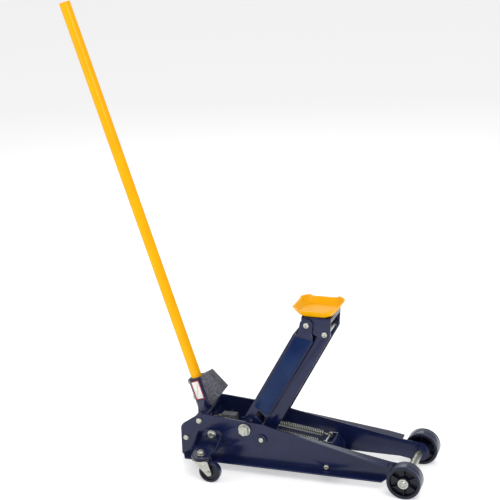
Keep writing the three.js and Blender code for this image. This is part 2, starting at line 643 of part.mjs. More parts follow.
function rearHeadPin(side, word) {
  const shank = rodY(ARM_LENGTH, 0, HEAD_PIN_RADIUS, ...ySpan(side, HEAD_INNER_Y - 0.3, ARM_OUTER_Y + 1));
  const cap = rodY(ARM_LENGTH, 0, HEAD_PIN_CAP_RADIUS, ...ySpan(side, ARM_OUTER_Y + 0.4, ARM_OUTER_Y + HEAD_PIN_CAP));
  return piece(`head_pin_rear_${word}`, 'zinc', join(shank, cap));
}

function liftShaft() {
  const end = PLATE_OUTER_Y + 0.2;
  return piece('lift_shaft', 'steel', rodY(...LIFT_PIVOT, LIFT_SHAFT_RADIUS, -end, end));
}

function liftShaftNut(side, word) {
  const face = PLATE_OUTER_Y + 0.5;
  return piece(`lift_shaft_nut_${word}`, 'zinc', hexHead(...LIFT_PIVOT, face, side, 15.5, 11, 18, 2.5));
}

function shaftSpacer(side, word) {
  const span = ySpan(side, ARM_OUTER_Y + FACE_GAP, PLATE_INNER_Y - FACE_GAP);
  const bore = rodY(...LIFT_PIVOT, LIFT_SHAFT_RADIUS + PIN_FIT, ...ySpan(side, ARM_OUTER_Y, PLATE_INNER_Y));
  const ring = cut(rodY(...LIFT_PIVOT, LIFT_SHAFT_RADIUS + 6, ...span), bore);
  return piece(`lift_shaft_spacer_${word}`, 'steel', ring);
}

// ---- levelling link, drawn along +X from its pivot
const LINK_LENGTH = ARM_LENGTH;
const HEEL_ANGLE = Math.atan2(HEEL_OFFSET[1], HEEL_OFFSET[0]);
const HEEL_LOCAL = atAngle(Math.hypot(...HEEL_OFFSET), HEEL_ANGLE - ARM_ANGLE);
const FRONT_PIN_FIT = 0.8; // radial clearance of the front head pin

function levellingLink() {
  const reach = [-LINK_OUTER_Y - 1, LINK_OUTER_Y + 1];
  const bars = eachSide((side) => {
    const span = ySpan(side, LINK_INNER_Y, LINK_OUTER_Y);
    const bar = slabY(barOutline([0, 0], [LINK_LENGTH, 0], LINK_END_RADIUS, LINK_HALF_HEIGHT), ...span);
    const heel = slabY(barOutline([0, 0], HEEL_LOCAL, 14, HEEL_PIN_RADIUS + 3.3), ...span);
    return [join(bar, heel)];
  });
  const tie = rodY(LINK_LENGTH * LINK_TIE_AT, 0, LINK_TIE_RADIUS, -LINK_INNER_Y - 1, LINK_INNER_Y + 1);
  const holes = [
    rodY(0, 0, LINK_BOLT_RADIUS + PIN_FIT, ...reach),
    rodY(LINK_LENGTH, 0, HEAD_PIN_RADIUS + FRONT_PIN_FIT, ...reach),
    rodY(...HEEL_LOCAL, HEEL_PIN_RADIUS + PIN_FIT, ...reach, 16),
  ];
  return piece('levelling_link', 'navy', cut(join(...bars, tie), ...holes));
}

const heelPin = () =>
  piece('spring_heel_pin', 'steel', rodY(...HEEL_LOCAL, HEEL_PIN_RADIUS, -LINK_OUTER_Y, LINK_OUTER_Y, 16));

function linkBolt(side, word) {
  const face = PLATE_OUTER_Y + 0.4;
  const shank = rodY(...LINK_PIVOT, LINK_BOLT_RADIUS, ...ySpan(side, LINK_INNER_Y + 0.2, face + 4));
  const ring = rodY(...LINK_PIVOT, 15, ...ySpan(side, face, face + 3.5));
  const head = rodY(...LINK_PIVOT, 7.5, ...ySpan(side, face + 3, face + 8));
  return piece(`link_pivot_bolt_${word}`, 'zinc', join(shank, ring, head));
}

// ---- head and saddle, drawn about the rear head pin
function saddleHead() {
  const [stepX, stepZ] = HEAD_PIN_STEP;
  const skirt = outline(
    [HEAD_REAR, -2],
    [HEAD_REAR, HEAD_TOP],
    [HEAD_FRONT, HEAD_TOP],
    [HEAD_FRONT, HEAD_TOP - 12],
    [stepX + 15, stepZ - 4],
    [stepX, stepZ],
  );
  const cheeks = eachSide((side) => {
    const span = ySpan(side, HEAD_INNER_Y, HEAD_OUTER_Y);
    const bar = slabY(barOutline([0, 0], HEAD_PIN_STEP, 15, 16), ...span);
    return [join(slabY(skirt, ...span), bar)];
  });
  const across = [-HEAD_OUTER_Y + 1, HEAD_OUTER_Y - 1];
  const top = box(HEAD_REAR, HEAD_FRONT, ...across, HEAD_TOP - HEAD_PLATE, HEAD_TOP);
  const front = box(HEAD_FRONT - HEAD_PLATE, HEAD_FRONT, ...across, HEAD_TOP - 12, HEAD_TOP - 1);
  const boss = rodZ(SADDLE_FORWARD, 0, SADDLE_STEM_RADIUS + 6, HEAD_TOP - 26, HEAD_TOP - 1);
  const holes = [
    rodZ(SADDLE_FORWARD, 0, SADDLE_STEM_RADIUS + PIN_FIT, HEAD_TOP - 30, HEAD_TOP + 1),
    rodY(0, 0, HEAD_PIN_RADIUS + PIN_FIT, -HEAD_OUTER_Y - 1, HEAD_OUTER_Y + 1),
    rodY(stepX, stepZ, HEAD_PIN_RADIUS + FRONT_PIN_FIT, -HEAD_OUTER_Y - 1, HEAD_OUTER_Y + 1),
  ];
  return piece('saddle_head', 'navy', cut(join(top, front, boss, ...cheeks), ...holes));
}

function frontHeadPin() {
  const end = HEAD_OUTER_Y + 0.4;
  const shank = rodY(LINK_LENGTH, 0, HEAD_PIN_RADIUS, -end - 1, end + 1);
  const cap = (from, to) => rodY(LINK_LENGTH, 0, HEAD_PIN_CAP_RADIUS, from, to);
  const caps = [cap(end, end + HEAD_PIN_CAP), cap(-end - HEAD_PIN_CAP, -end)];
  return piece('head_pin_front', 'zinc', join(shank, ...caps));
}

// A level loop round a square with round corners; its corners can be raised.
function squareLoop(half, corner, z, lug = 0) {
  const loop = [];
  const steps = 6;
  for (let quarter = 0; quarter < 4; quarter += 1) {
    const turn = (Math.PI / 2) * quarter;
    for (let i = 0; i <= steps; i += 1) {
      const angle = turn + (Math.PI / 2) * (i / steps);
      const x = (half - corner) * Math.SQRT2 * Math.cos(turn + Math.PI / 4) + corner * Math.cos(angle);
      const y = (half - corner) * Math.SQRT2 * Math.sin(turn + Math.PI / 4) + corner * Math.sin(angle);
      loop.push([x, y, z + lug * Math.sin((Math.PI * i) / steps)]);
    }
  }
  return loop;
}

function saddle() {
  const dish = loft([
    squareLoop(SADDLE_BASE_HALF - 4, 12, 0),
    squareLoop(SADDLE_BASE_HALF + 2, 14, 5),
    squareLoop(SADDLE_HALF, 20, SADDLE_HEIGHT, SADDLE_LUG),
    squareLoop(SADDLE_HALF - SADDLE_WALL, 17, SADDLE_HEIGHT, SADDLE_LUG),
    squareLoop(SADDLE_BASE_HALF - SADDLE_WALL + 2, 12, SADDLE_FLOOR),
  ]);
  const stem = rodZ(0, 0, SADDLE_STEM_RADIUS, -SADDLE_STEM_LENGTH, 2);
  return piece('saddle', 'yellow', join(dish, stem));
}

// ---- return springs, drawn from the front hook towards the heel pin along -X
const HEEL_PIN = [LINK_PIVOT[0] + HEEL_OFFSET[0], LINK_PIVOT[1] + HEEL_OFFSET[1]];
const SPRING_SPAN = Math.hypot(SPRING_ROD[0] - HEEL_PIN[0], HEEL_PIN[1] - SPRING_ROD[1]);
const SPRING_TILT = Math.atan2(HEEL_PIN[1] - SPRING_ROD[1], SPRING_ROD[0] - HEEL_PIN[0]);

function returnSpring(side, word) {
  const hook = (x, pinRadius) => {
    const bend = pinRadius + FACE_GAP + SPRING_WIRE;
    const ring = new THREE.TorusGeometry(bend, SPRING_WIRE, 6, 16);
    return solid(ring.rotateX(Math.PI / 2).translate(x, 0, 0));
  };
  const lead = 14;
  const bars = [
    rodX(0, 0, SPRING_RADIUS, -SPRING_SPAN + lead + 10, -lead - 10, 16),
    rodX(0, 0, SPRING_WIRE, -SPRING_SPAN + HEEL_PIN_RADIUS + FACE_GAP + 1, -SPRING_SPAN + lead + 11, 8),
    rodX(0, 0, SPRING_WIRE, -lead - 11, -SPRING_ROD_RADIUS - FACE_GAP - 1, 8),
  ];
  const spring = piece(
    `return_spring_${word}`,
    'zinc',
    join(...bars, hook(0, SPRING_ROD_RADIUS), hook(-SPRING_SPAN, HEEL_PIN_RADIUS)),
  );
  spring.position.set(SPRING_ROD[0], side * SPRING_Y, SPRING_ROD[1]);
  spring.rotation.y = SPRING_TILT;
  return spring;
}

function springRod() {
  const end = TOWER_HALF_Y + 2;
  return piece('spring_anchor_rod', 'steel', rodY(...SPRING_ROD, SPRING_ROD_RADIUS, -end, end, 16));
}

// ---- power unit
const HANDLE_LEAN = THREE.MathUtils.degToRad(HANDLE_LEAN_DEG);
const PLUNGER_Z = YOKE_PIVOT[1] - PLUNGER_DROP;
const PLUNGER_REAR_X = YOKE_PIVOT[0] + ROLLER_RADIUS + ROLLER_GAP;
const PLUNGER_TRAVEL = PLUNGER_DROP * THREE.MathUtils.degToRad(PUMP_STROKE_DEG);
const PUMP_REAR_X = YOKE_PIVOT[0] + PLUNGER_DROP + ROLLER_RADIUS + 1.5;

function powerUnit() {
  const blockFront = UNIT_REAR_X + UNIT_BLOCK_LENGTH;
  const bodyFront = PLUNGER_REAR_X + PLUNGER_LENGTH + PLUNGER_TRAVEL + 4;
  const block = box(UNIT_REAR_X, blockFront, -UNIT_HALF_Y, UNIT_HALF_Y, UNIT_BASE_Z, UNIT_TOP_Z);
  const shell = rodX(0, RAM_Z, RESERVOIR_RADIUS, blockFront - 1, RESERVOIR_FRONT_X, 36);
  const gland = rodX(0, RAM_Z, GLAND_RADIUS, RESERVOIR_FRONT_X - 1, RESERVOIR_FRONT_X + GLAND_LENGTH);
  const pump = box(PUMP_REAR_X, bodyFront, PLUNGER_Y - 13, PLUNGER_Y + 13, RAM_Z, PLUNGER_Z + 13);
  const bores = [
    rodX(0, RAM_Z, RAM_RADIUS + PIN_FIT, UNIT_REAR_X + 8, RESERVOIR_FRONT_X + GLAND_LENGTH + 1),
    rodX(PLUNGER_Y, PLUNGER_Z, PLUNGER_RADIUS + PIN_FIT, PUMP_REAR_X - 1, bodyFront - 3),
    rodZ(FILLER_X, FILLER_Y, FILLER_RADIUS + PIN_FIT, RAM_Z + RAM_RADIUS + 4, RAM_Z + RESERVOIR_RADIUS + 5),
    valveRod(SPINDLE_RADIUS + PIN_FIT, -SPINDLE_END - 2, -20),
  ];
  return piece('power_unit', 'cast', cut(join(block, shell, gland, pump), ...bores));
}

// A rod on the handle's resting axis, between two distances from the yoke pivot.
function valveRod(radius, from, to) {
  const shaft = rodZ(0, 0, radius, from, to).rotate([0, -HANDLE_LEAN_DEG, 0]);
  return shaft.translate([YOKE_PIVOT[0], 0, YOKE_PIVOT[1]]);
}

const releaseSpindle = () =>
  piece('release_valve_spindle', 'steel', valveRod(SPINDLE_RADIUS, -SPINDLE_END, -SPINDLE_START));

function fillerPlug() {
  const top = RAM_Z + RESERVOIR_RADIUS;
  const shank = rodZ(FILLER_X, FILLER_Y, FILLER_RADIUS, RAM_Z + RAM_RADIUS + 8, top + 4);
  const head = rodZ(FILLER_X, FILLER_Y, FILLER_RADIUS + 4, top + 1, top + 15, 6);
  return piece('oil_filler_plug', 'brass', join(shank, head));
}

function unitMount(side, word) {
  const span = ySpan(side, UNIT_HALF_Y + FACE_GAP, PLATE_INNER_Y - FACE_GAP);
  const bar = box(UNIT_REAR_X + 2, UNIT_REAR_X + 30, ...span, UNIT_BASE_Z, UNIT_BASE_Z + 26);
  return piece(`unit_mount_${word}`, 'cast', bar);
}

function ramRod() {
  const clevisRear = CRANK_PIN[0] - CLEVIS_LENGTH / 2;
  const rear = RESERVOIR_FRONT_X - 20;
  return piece('ram_rod', 'zinc', rodX(0, RAM_Z, RAM_RADIUS, rear, clevisRear - 0.5));
}

function ramClevis() {
  const half = CLEVIS_LENGTH / 2;
  const x = CRANK_PIN[0];
  const wide = CLEVIS_HALF_Y;
  const body = box(x - half, x + half, -wide, wide, RAM_Z - CLEVIS_HALF_Z, RAM_Z + CLEVIS_HALF_Z);
  const slot = CRANK_PIN_RADIUS + 1.4;
  const slotHalf = CRANK_DIP / 2 + slot;
  const window = box(x - slot, x + slot, -wide - 1, wide + 1, RAM_Z - slotHalf, RAM_Z + slotHalf);
  return piece('ram_clevis', 'cast', cut(body, window));
}

function pumpPlunger() {
  const front = PLUNGER_REAR_X + PLUNGER_LENGTH;
  return piece('pump_plunger', 'zinc', rodX(PLUNGER_Y, PLUNGER_Z, PLUNGER_RADIUS, PLUNGER_REAR_X, front));
}

function rearSpacer() {
  const half = PLATE_INNER_Y - FACE_GAP;
  const holes = eachSide((side) => [
    rodY(...REAR_SPACER, SMALL_BOLT_RADIUS + PIN_FIT, ...ySpan(side, half - 25, half + 1)),
  ]);
  return piece('rear_spacer', 'navy', cut(rodY(...REAR_SPACER, SPACER_RADIUS, -half, half), ...holes));
}

// ---- yoke and handle, drawn along +Z from the yoke pivot
// The cam roller hangs straight below the pivot when the handle is at rest.
const CAM_LOCAL = [-PLUNGER_DROP * Math.sin(HANDLE_LEAN), -PLUNGER_DROP * Math.cos(HANDLE_LEAN)];

function handleYoke() {
  const half = PLATE_INNER_Y - 2;
  const flat = SOCKET_RADIUS - 1;
  const edge = 8;
  const section = outline(
    [-flat, -flat + edge], [-flat + edge, -flat], [flat - edge, -flat], [flat, -flat + edge],
    [flat, flat - edge], [flat - edge, flat], [-flat + edge, flat], [-flat, flat - edge],
  );
  const socket = slabZ(section, SOCKET_START, SOCKET_END);
  const bar = rodY(0, 0, CROSSBAR_RADIUS, -half, half, 32);
  const flare = outline([-half + 14, 4], [half - 14, 4], [flat - 2, LABEL_LOW - 1], [-flat + 2, LABEL_LOW - 1]);
  const web = new THREE.ExtrudeGeometry(flare, { depth: 20, bevelEnabled: false });
  const shoulders = solid(web.rotateX(Math.PI / 2).rotateZ(Math.PI / 2).translate(-10, 0, 0));
  const nose = outline([16, 22], [16, SOCKET_END], [48, SOCKET_END + 8], [78, 55], [24, 16]);
  const wedge = slabY(nose, -NOSE_HALF_Y, NOSE_HALF_Y);
  const cam = barOutline([0, 0], CAM_LOCAL, ROLLER_RADIUS - 2.5, ROLLER_RADIUS);
  const roller = slabY(cam, PLUNGER_Y - 6, PLUNGER_Y + 6);
  const bore = rodZ(0, 0, HANDLE_RADIUS + PIN_FIT, HANDLE_START - 1, SOCKET_END + 10, 32);
  const throat = rodZ(0, 0, RELEASE_ROD_RADIUS + 1.2, -2, HANDLE_START);
  const slot = box(-CROSSBAR_RADIUS - 2, CROSSBAR_RADIUS + 2, -9, 9, -CROSSBAR_RADIUS - 2, 2);
  const boltHoles = eachSide((side) => [
    rodY(0, 0, YOKE_BOLT_RADIUS + PIN_FIT, ...ySpan(side, 40, half + 1)),
  ]);
  const screwHoles = SET_SCREW_AT.map((at) =>
    rodX(0, at, SET_SCREW_RADIUS + PIN_FIT, -SOCKET_RADIUS - 2, -HANDLE_RADIUS + 2),
  );
  const casting = join(socket, bar, shoulders, wedge, roller);
  return piece('handle_yoke', 'navy', cut(casting, bore, throat, slot, ...boltHoles, ...screwHoles));
}

function setScrew(at, word) {
  const shank = rodX(0, at, SET_SCREW_RADIUS, -SOCKET_RADIUS - 2, -HANDLE_RADIUS - 1, 16);
  const head = rodX(0, at, SET_SCREW_RADIUS + 2, -SOCKET_RADIUS - 7, -SOCKET_RADIUS + 0.6, 6);
  return piece(`handle_set_screw_${word}`, 'zinc', join(shank, head));
}

function labelPlate() {
  const [height, width, thickness] = LABEL_SIZE;
  const face = SOCKET_RADIUS - 1 + 0.3;
  return piece('yoke_label', 'label', box(-width / 2, width / 2, -face - thickness, -face, LABEL_LOW, LABEL_LOW + height));
}

function handleTube() {
  const outer = rodZ(0, 0, HANDLE_RADIUS, HANDLE_START, HANDLE_END, 36);
  const inner = rodZ(0, 0, HANDLE_RADIUS - HANDLE_WALL, HANDLE_START - 1, HANDLE_END - 4);
  return piece('handle_tube', 'yellow', cut(outer, inner));
}

const releaseRod = () => piece('release_rod', 'steel', rodZ(0, 0, RELEASE_ROD_RADIUS, 5, HANDLE_START - 0.5));

// ---- bolts through the side plates
const YOKE_BOLT = { radius: YOKE_BOLT_RADIUS, innerY: 45, headRadius: 8 };
const SPACER_BOLT = { radius: SMALL_BOLT_RADIUS, innerY: PLATE_INNER_Y - 20, headRadius: 7.5 };
const CROSS_MEMBER_BOLT = { radius: SMALL_BOLT_RADIUS, innerY: PLATE_INNER_Y - 14, headRadius: 7 };

// The bolt that clamps a caster bracket to its side plate.
function bracketBolt(side, word) {
  const face = PLATE_OUTER_Y + FACE_GAP + 4.5 + 0.4;
  const shank = rodY(...BRACKET_BOLT, BRACKET_BOLT_RADIUS, ...ySpan(side, PLATE_INNER_Y - 12, face + 1));
  const head = hexHead(...BRACKET_BOLT, face, side, 11, 6, 13, 2);
  return piece(`caster_bracket_bolt_${word}`, 'zinc', join(shank, head));
}

const casterUnit = (side, word) =>
  group(
    [CASTER_X, side * CASTER_Y, 0],
    [0, 0, 0],
    casterFork(word),
    casterStem(word),
    casterWheel(word),
    casterAxle(word),
  );

// ---- the assembly
const chassis = [
  ...eachSide((side, word) => [
    sidePlate(side, word),
    wheelWasher(side, word),
    frontWheel(side, word),
    casterBracket(side, word),
    liftShaftNut(side, word),
    shaftSpacer(side, word),
    linkBolt(side, word),
    unitMount(side, word),
    returnSpring(side, word),
    plateBolt(`yoke_pivot_bolt_${word}`, YOKE_PIVOT, side, YOKE_BOLT),
    plateBolt(`rear_spacer_bolt_${word}`, REAR_SPACER, side, SPACER_BOLT),
    plateBolt(`cross_member_bolt_${word}`, CROSS_BOLT, side, CROSS_MEMBER_BOLT),
    bracketBolt(side, word),
    casterUnit(side, word),
  ]),
  frontAxle(),
  crossMember(),
  springRod(),
  liftShaft(),
  rearSpacer(),
  powerUnit(),
  releaseSpindle(),
  fillerPlug(),
  ramRod(),
  ramClevis(),
  pumpPlunger(),
];

const arm = group(
  [LIFT_PIVOT[0], 0, LIFT_PIVOT[1]],
  [0, -ARM_ANGLE, 0],
  liftArm(),
  crankPin(),
  ...eachSide((side, word) => [rearHeadPin(side, word)]),
);
const link = group(
  [LINK_PIVOT[0], 0, LINK_PIVOT[1]],
  [0, -ARM_ANGLE, 0],
  levellingLink(),
  heelPin(),
  frontHeadPin(),
);
const seat = group([SADDLE_FORWARD, 0, HEAD_TOP + FACE_GAP], [0, 0, 0], saddle());
const head = group([REAR_HEAD_PIN[0], 0, REAR_HEAD_PIN[1]], [0, 0, 0], saddleHead(), seat);
const handle = group(
  [YOKE_PIVOT[0], 0, YOKE_PIVOT[1]],
  [0, -HANDLE_LEAN, 0],
  handleYoke(),
  setScrew(SET_SCREW_AT[0], 'lower'),
  setScrew(SET_SCREW_AT[1], 'upper'),
  labelPlate(),
  handleTube(),
  releaseRod(),
);

// The origin is the middle of the bounding box, on the floor.
const jack = group([0, 0, 0], [0, 0, 0], ...chassis, arm, link, head, handle);
jack.updateMatrixWorld(true);
const bounds = new THREE.Box3().setFromObject(jack, true);
jack.position.set(-(bounds.min.x + bounds.max.x) / 2, -(bounds.min.y + bounds.max.y) / 2, -bounds.min.z);

export default jack;
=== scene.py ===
"""Hydraulic floor jack: the looks of its painted pressings, castings, wheels and fasteners.

Lengths are in metres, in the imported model's own frame: X runs forward, Y to the left and Z up.
"""

import json
import logging
import math
from dataclasses import dataclass
from enum import Enum
from typing import Any, Callable, Iterable, Optional

import bmesh
import bpy
from mathutils import Matrix, Vector


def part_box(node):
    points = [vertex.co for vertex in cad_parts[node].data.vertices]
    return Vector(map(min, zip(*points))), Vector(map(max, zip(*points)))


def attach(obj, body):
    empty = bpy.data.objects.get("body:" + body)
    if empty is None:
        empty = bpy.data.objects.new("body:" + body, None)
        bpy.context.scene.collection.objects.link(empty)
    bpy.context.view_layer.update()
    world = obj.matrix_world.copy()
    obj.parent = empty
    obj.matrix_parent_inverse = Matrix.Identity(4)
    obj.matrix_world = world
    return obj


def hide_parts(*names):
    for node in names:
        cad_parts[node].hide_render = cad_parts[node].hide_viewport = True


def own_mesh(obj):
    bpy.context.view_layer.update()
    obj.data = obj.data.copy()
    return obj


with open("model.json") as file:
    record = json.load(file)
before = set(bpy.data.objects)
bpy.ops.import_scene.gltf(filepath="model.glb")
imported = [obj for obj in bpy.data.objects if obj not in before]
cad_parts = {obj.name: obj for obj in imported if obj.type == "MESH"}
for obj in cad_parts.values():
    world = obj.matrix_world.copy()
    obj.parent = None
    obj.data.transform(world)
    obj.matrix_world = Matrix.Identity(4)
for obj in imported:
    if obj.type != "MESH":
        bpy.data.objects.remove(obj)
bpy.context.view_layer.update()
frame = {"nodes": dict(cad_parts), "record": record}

LOG = logging.getLogger("floor_jack")
MM = 0.001
FIT = 0.4 * MM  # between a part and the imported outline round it


class Axis(Enum):
    """The direction a turned part points along, with the turn that takes +Z there."""

    X = (0.0, math.pi / 2, 0.0)
    Y = (-math.pi / 2, 0.0, 0.0)
    Z = (0.0, 0.0, 0.0)


class Side(Enum):
    """The left or the right of the chassis, with the sign of its Y."""

    LEFT = 1
    RIGHT = -1

    @property
    def word(self) -> str:
        """Gives the word that ends the names of this side's parts.

        Returns:
            The side in lower case.
        """
        return self.name.lower()


# ---------------------------------------------------------------- finishes


def linear(code: str) -> tuple[float, float, float, float]:
    """Turns an sRGB hex colour into Blender's linear colour.

    Args:
        code: The colour, such as "#1B2550".

    Returns:
        Red, green, blue and a full alpha.
    """
    parts = [int(code[i : i + 2], 16) / 255 for i in (1, 3, 5)]
    red, green, blue = [c / 12.92 if c <= 0.04045 else ((c + 0.055) / 1.055) ** 2.4 for c in parts]
    return red, green, blue, 1.0


def per_metre(millimetres: float) -> float:
    """Turns the real size of one grain or ripple into a texture scale.

    Args:
        millimetres: The size of one repeat on the real surface.

    Returns:
        Repeats in a metre.
    """
    return 1 / (millimetres * MM)


def add_node(tree: bpy.types.NodeTree, kind: str, values: dict[Any, Any], **links: Any) -> bpy.types.Node:
    """Adds one node to a material, sets its values and links its inputs.

    Args:
        tree: The material's node tree.
        kind: The node's type name.
        values: Settings by attribute name, and socket values by socket name or number.
        **links: The output socket that feeds each input; underscores stand for spaces.

    Returns:
        The new node.
    """
    node = tree.nodes.new(kind)
    for key, value in values.items():
        if isinstance(key, str) and hasattr(node, key):
            setattr(node, key, value)
        else:
            node.inputs[key].default_value = value
    for key, output in links.items():
        tree.links.new(output, node.inputs[key.replace("_", " ")])
    return node


@dataclass(frozen=True)
class Finish:
    """A finish on a real material, with two tones, a roughness range and a surface texture."""

    name: str
    tone: str
    second_tone: str
    patch_mm: float
    roughness: tuple[float, float]
    grain_mm: float
    grain_depth: float
    metallic: float = 0.0
    coat: float = 0.0
    coat_roughness: float = 0.05
    ior: Optional[float] = None
    stretch: tuple[float, float, float] = (1.0, 1.0, 1.0)
    wear_tone: Optional[str] = None
    wear: float = 0.0

    def build(self) -> bpy.types.Material:
        """Makes the material, or finds it if it has been made.

        Returns:
            The material.
        """
        found = bpy.data.materials.get(self.name)
        if found:
            return found
        material = bpy.data.materials.new(self.name)
        material.use_nodes = True
        tree = material.node_tree
        shader = tree.nodes["Principled BSDF"]
        shader.inputs["Metallic"].default_value = self.metallic
        shader.inputs["Coat Weight"].default_value = self.coat
        shader.inputs["Coat Roughness"].default_value = self.coat_roughness
        if self.ior:
            shader.inputs["IOR"].default_value = self.ior
        place = add_node(tree, "ShaderNodeTexCoord", {}).outputs["Object"]
        patches = add_node(
            tree, "ShaderNodeTexNoise",
            {"Scale": per_metre(self.patch_mm), "Detail": 5.0, "Roughness": 0.6}, Vector=place
        ).outputs["Fac"]
        contrast = add_node(
            tree, "ShaderNodeMapRange", {"From Min": 0.35, "From Max": 0.65}, Value=patches
        ).outputs["Result"]
        colour = self._mix(tree, contrast, linear(self.tone), linear(self.second_tone))
        if self.wear_tone:
            colour = self._worn(tree, place, colour)
        tree.links.new(colour, shader.inputs["Base Color"])
        low, high = self.roughness
        sheen = add_node(
            tree, "ShaderNodeMapRange", {"From Min": 0.3, "From Max": 0.7, "To Min": low, "To Max": high},
            Value=patches
        )
        tree.links.new(sheen.outputs["Result"], shader.inputs["Roughness"])
        lie = add_node(tree, "ShaderNodeMapping", {"Scale": self.stretch}, Vector=place).outputs["Vector"]
        grain = add_node(
            tree, "ShaderNodeTexNoise", {"Scale": per_metre(self.grain_mm), "Detail": 3.0}, Vector=lie
        ).outputs["Fac"]
        bump = add_node(
            tree, "ShaderNodeBump", {"Strength": 1.0, "Distance": self.grain_depth * MM}, Height=grain
        ).outputs["Normal"]
        tree.links.new(bump, shader.inputs["Normal"])
        return material

    def _mix(self, tree: bpy.types.NodeTree, factor: Any, first: Any, second: Any) -> bpy.types.NodeSocket:
        """Blends two colours by a factor socket.

        Args:
            tree: The material's node tree.
            factor: The socket that drives the blend.
            first: The colour or socket at 0.
            second: The colour at 1.

        Returns:
            The blended colour's socket.
        """
        node = tree.nodes.new("ShaderNodeMix")
        node.data_type = "RGBA"
        tree.links.new(factor, node.inputs["Factor"])
        if isinstance(first, bpy.types.NodeSocket):
            tree.links.new(first, node.inputs[6])
        else:
            node.inputs[6].default_value = first
        node.inputs[7].default_value = second
        return node.outputs[2]

    def _worn(self, tree: bpy.types.NodeTree, place: Any, colour: Any) -> bpy.types.NodeSocket:
        """Lays a thin scatter of rubbed or dusty specks over the colour.

        Args:
            tree: The material's node tree.
            place: The object coordinates.
            colour: The colour's socket.

        Returns:
            The new colour's socket.
        """
        specks = add_node(
            tree, "ShaderNodeTexNoise",
            {"Scale": per_metre(self.patch_mm / 5), "Detail": 8.0, "Roughness": 0.75}, Vector=place
        ).outputs["Fac"]
        mask = add_node(
            tree, "ShaderNodeMapRange", {"From Min": 0.62, "From Max": 0.74, "To Max": self.wear},
            Value=specks
        ).outputs["Result"]
        return self._mix(tree, mask, colour, linear(self.wear_tone))


# Navy stoving enamel, sprayed on pressed steel: deep and glossy, with a faint orange peel.
NAVY = Finish(
    "navy_stoved_enamel",
    tone="#10193C", second_tone="#161F46", patch_mm=60,
    roughness=(0.2, 0.28), grain_mm=2.2, grain_depth=0.02,
    coat=0.1, coat_roughness=0.06, ior=1.4,
    wear_tone="#39406E", wear=0.2,
)
# The same enamel on the raised panels, in a bluer and lighter tone that is a painted reflection on the
# panel field.
NAVY_PANEL_REFLECTION = Finish(
    "navy_enamel_on_panel",
    tone="#071F4C", second_tone="#0D2B58", patch_mm=70,
    roughness=(0.18, 0.24), grain_mm=2.6, grain_depth=0.016,
    coat=0.04, coat_roughness=0.05, ior=1.28,
)
# Painted shade in the pressed lines round the panels: a darker enamel on the border faces, for the shadow
# of the step.
NAVY_LINE_SHADE = Finish(
    "navy_enamel_line_painted_shade",
    tone="#060A1A", second_tone="#0A1024", patch_mm=20,
    roughness=(0.45, 0.6), grain_mm=1.6, grain_depth=0.02,
    ior=1.4,
)
# Yellow powder coat on tube and casting: thick, bright and glossy.
YELLOW = Finish(
    "yellow_powder_coat",
    tone="#FFB800", second_tone="#FAB000", patch_mm=45,
    roughness=(0.26, 0.34), grain_mm=1.8, grain_depth=0.014,
    coat=0.08, coat_roughness=0.05, ior=1.22,
    wear_tone="#D99005", wear=0.25,
)
# Bright zinc plate on fasteners and forks: silver with a faint mottle.
ZINC = Finish(
    "bright_zinc_plate",
    tone="#C3C4BB", second_tone="#A9ABA4", patch_mm=7,
    roughness=(0.24, 0.4), grain_mm=0.9, grain_depth=0.012,
    metallic=1.0,
)
# Ground steel shafts: grey, with fine rings from turning.
STEEL = Finish(
    "turned_steel",
    tone="#B4B6B8", second_tone="#96999D", patch_mm=12,
    roughness=(0.26, 0.4), grain_mm=0.5, grain_depth=0.01,
    metallic=1.0, stretch=(1, 8, 1),
)
# Sand-cast iron as it leaves the mould: dull, pitted and grey.
CAST = Finish(
    "sand_cast_iron",
    tone="#74777C", second_tone="#5A5D63", patch_mm=5,
    roughness=(0.55, 0.75), grain_mm=1.1, grain_depth=0.22,
    metallic=0.55,
)
# The rough, unpainted nose of the yoke casting.
NOSE = Finish(
    "shot_blasted_casting",
    tone="#6E6E78", second_tone="#33343E", patch_mm=4,
    roughness=(0.5, 0.7), grain_mm=1.5, grain_depth=0.36,
    metallic=0.2, stretch=(1, 1, 0.35),
)
# Moulded nylon of the wheels: near black, smooth, with a soft gloss.
NYLON = Finish(
    "moulded_nylon",
    tone="#080B1C", second_tone="#0F1326", patch_mm=20,
    roughness=(0.28, 0.38), grain_mm=1.2, grain_depth=0.01,
    ior=1.42,
)
# The turned tread of the front wheels, polished by rolling.
TREAD = Finish(
    "glossy_wheel_tread",
    tone="#121A3A", second_tone="#1B2549", patch_mm=18,
    roughness=(0.2, 0.3), grain_mm=1.0, grain_depth=0.02,
    coat=0.15, ior=1.5,
)
# Yellow brass of the oil plug, dulled by handling.
BRASS = Finish(
    "dulled_brass",
    tone="#A8904E", second_tone="#7E6E40", patch_mm=4,
    roughness=(0.34, 0.5), grain_mm=0.8, grain_depth=0.03,
    metallic=0.9,
)
# Printed vinyl, plain white inside a red border.
VINYL = Finish(
    "white_vinyl_label",
    tone="#F3F1EE", second_tone="#E9E6E2", patch_mm=14,
    roughness=(0.35, 0.45), grain_mm=0.7, grain_depth=0.006,
    ior=1.46,
)
RED_INK = Finish(
    "red_printed_border",
    tone="#B5262B", second_tone="#A32026", patch_mm=10,
    roughness=(0.35, 0.45), grain_mm=0.7, grain_depth=0.006,
    ior=1.46,
)
# Black rubber of the seal under the oil plug.
RUBBER = Finish(
    "black_nitrile_rubber",
    tone="#141416", second_tone="#1D1D20", patch_mm=8,
    roughness=(0.55, 0.7), grain_mm=0.8, grain_depth=0.02,
    ior=1.52,
)


# ---------------------------------------------------------------- modelling by operators

FaceTest = Callable[[Vector, Vector], bool]


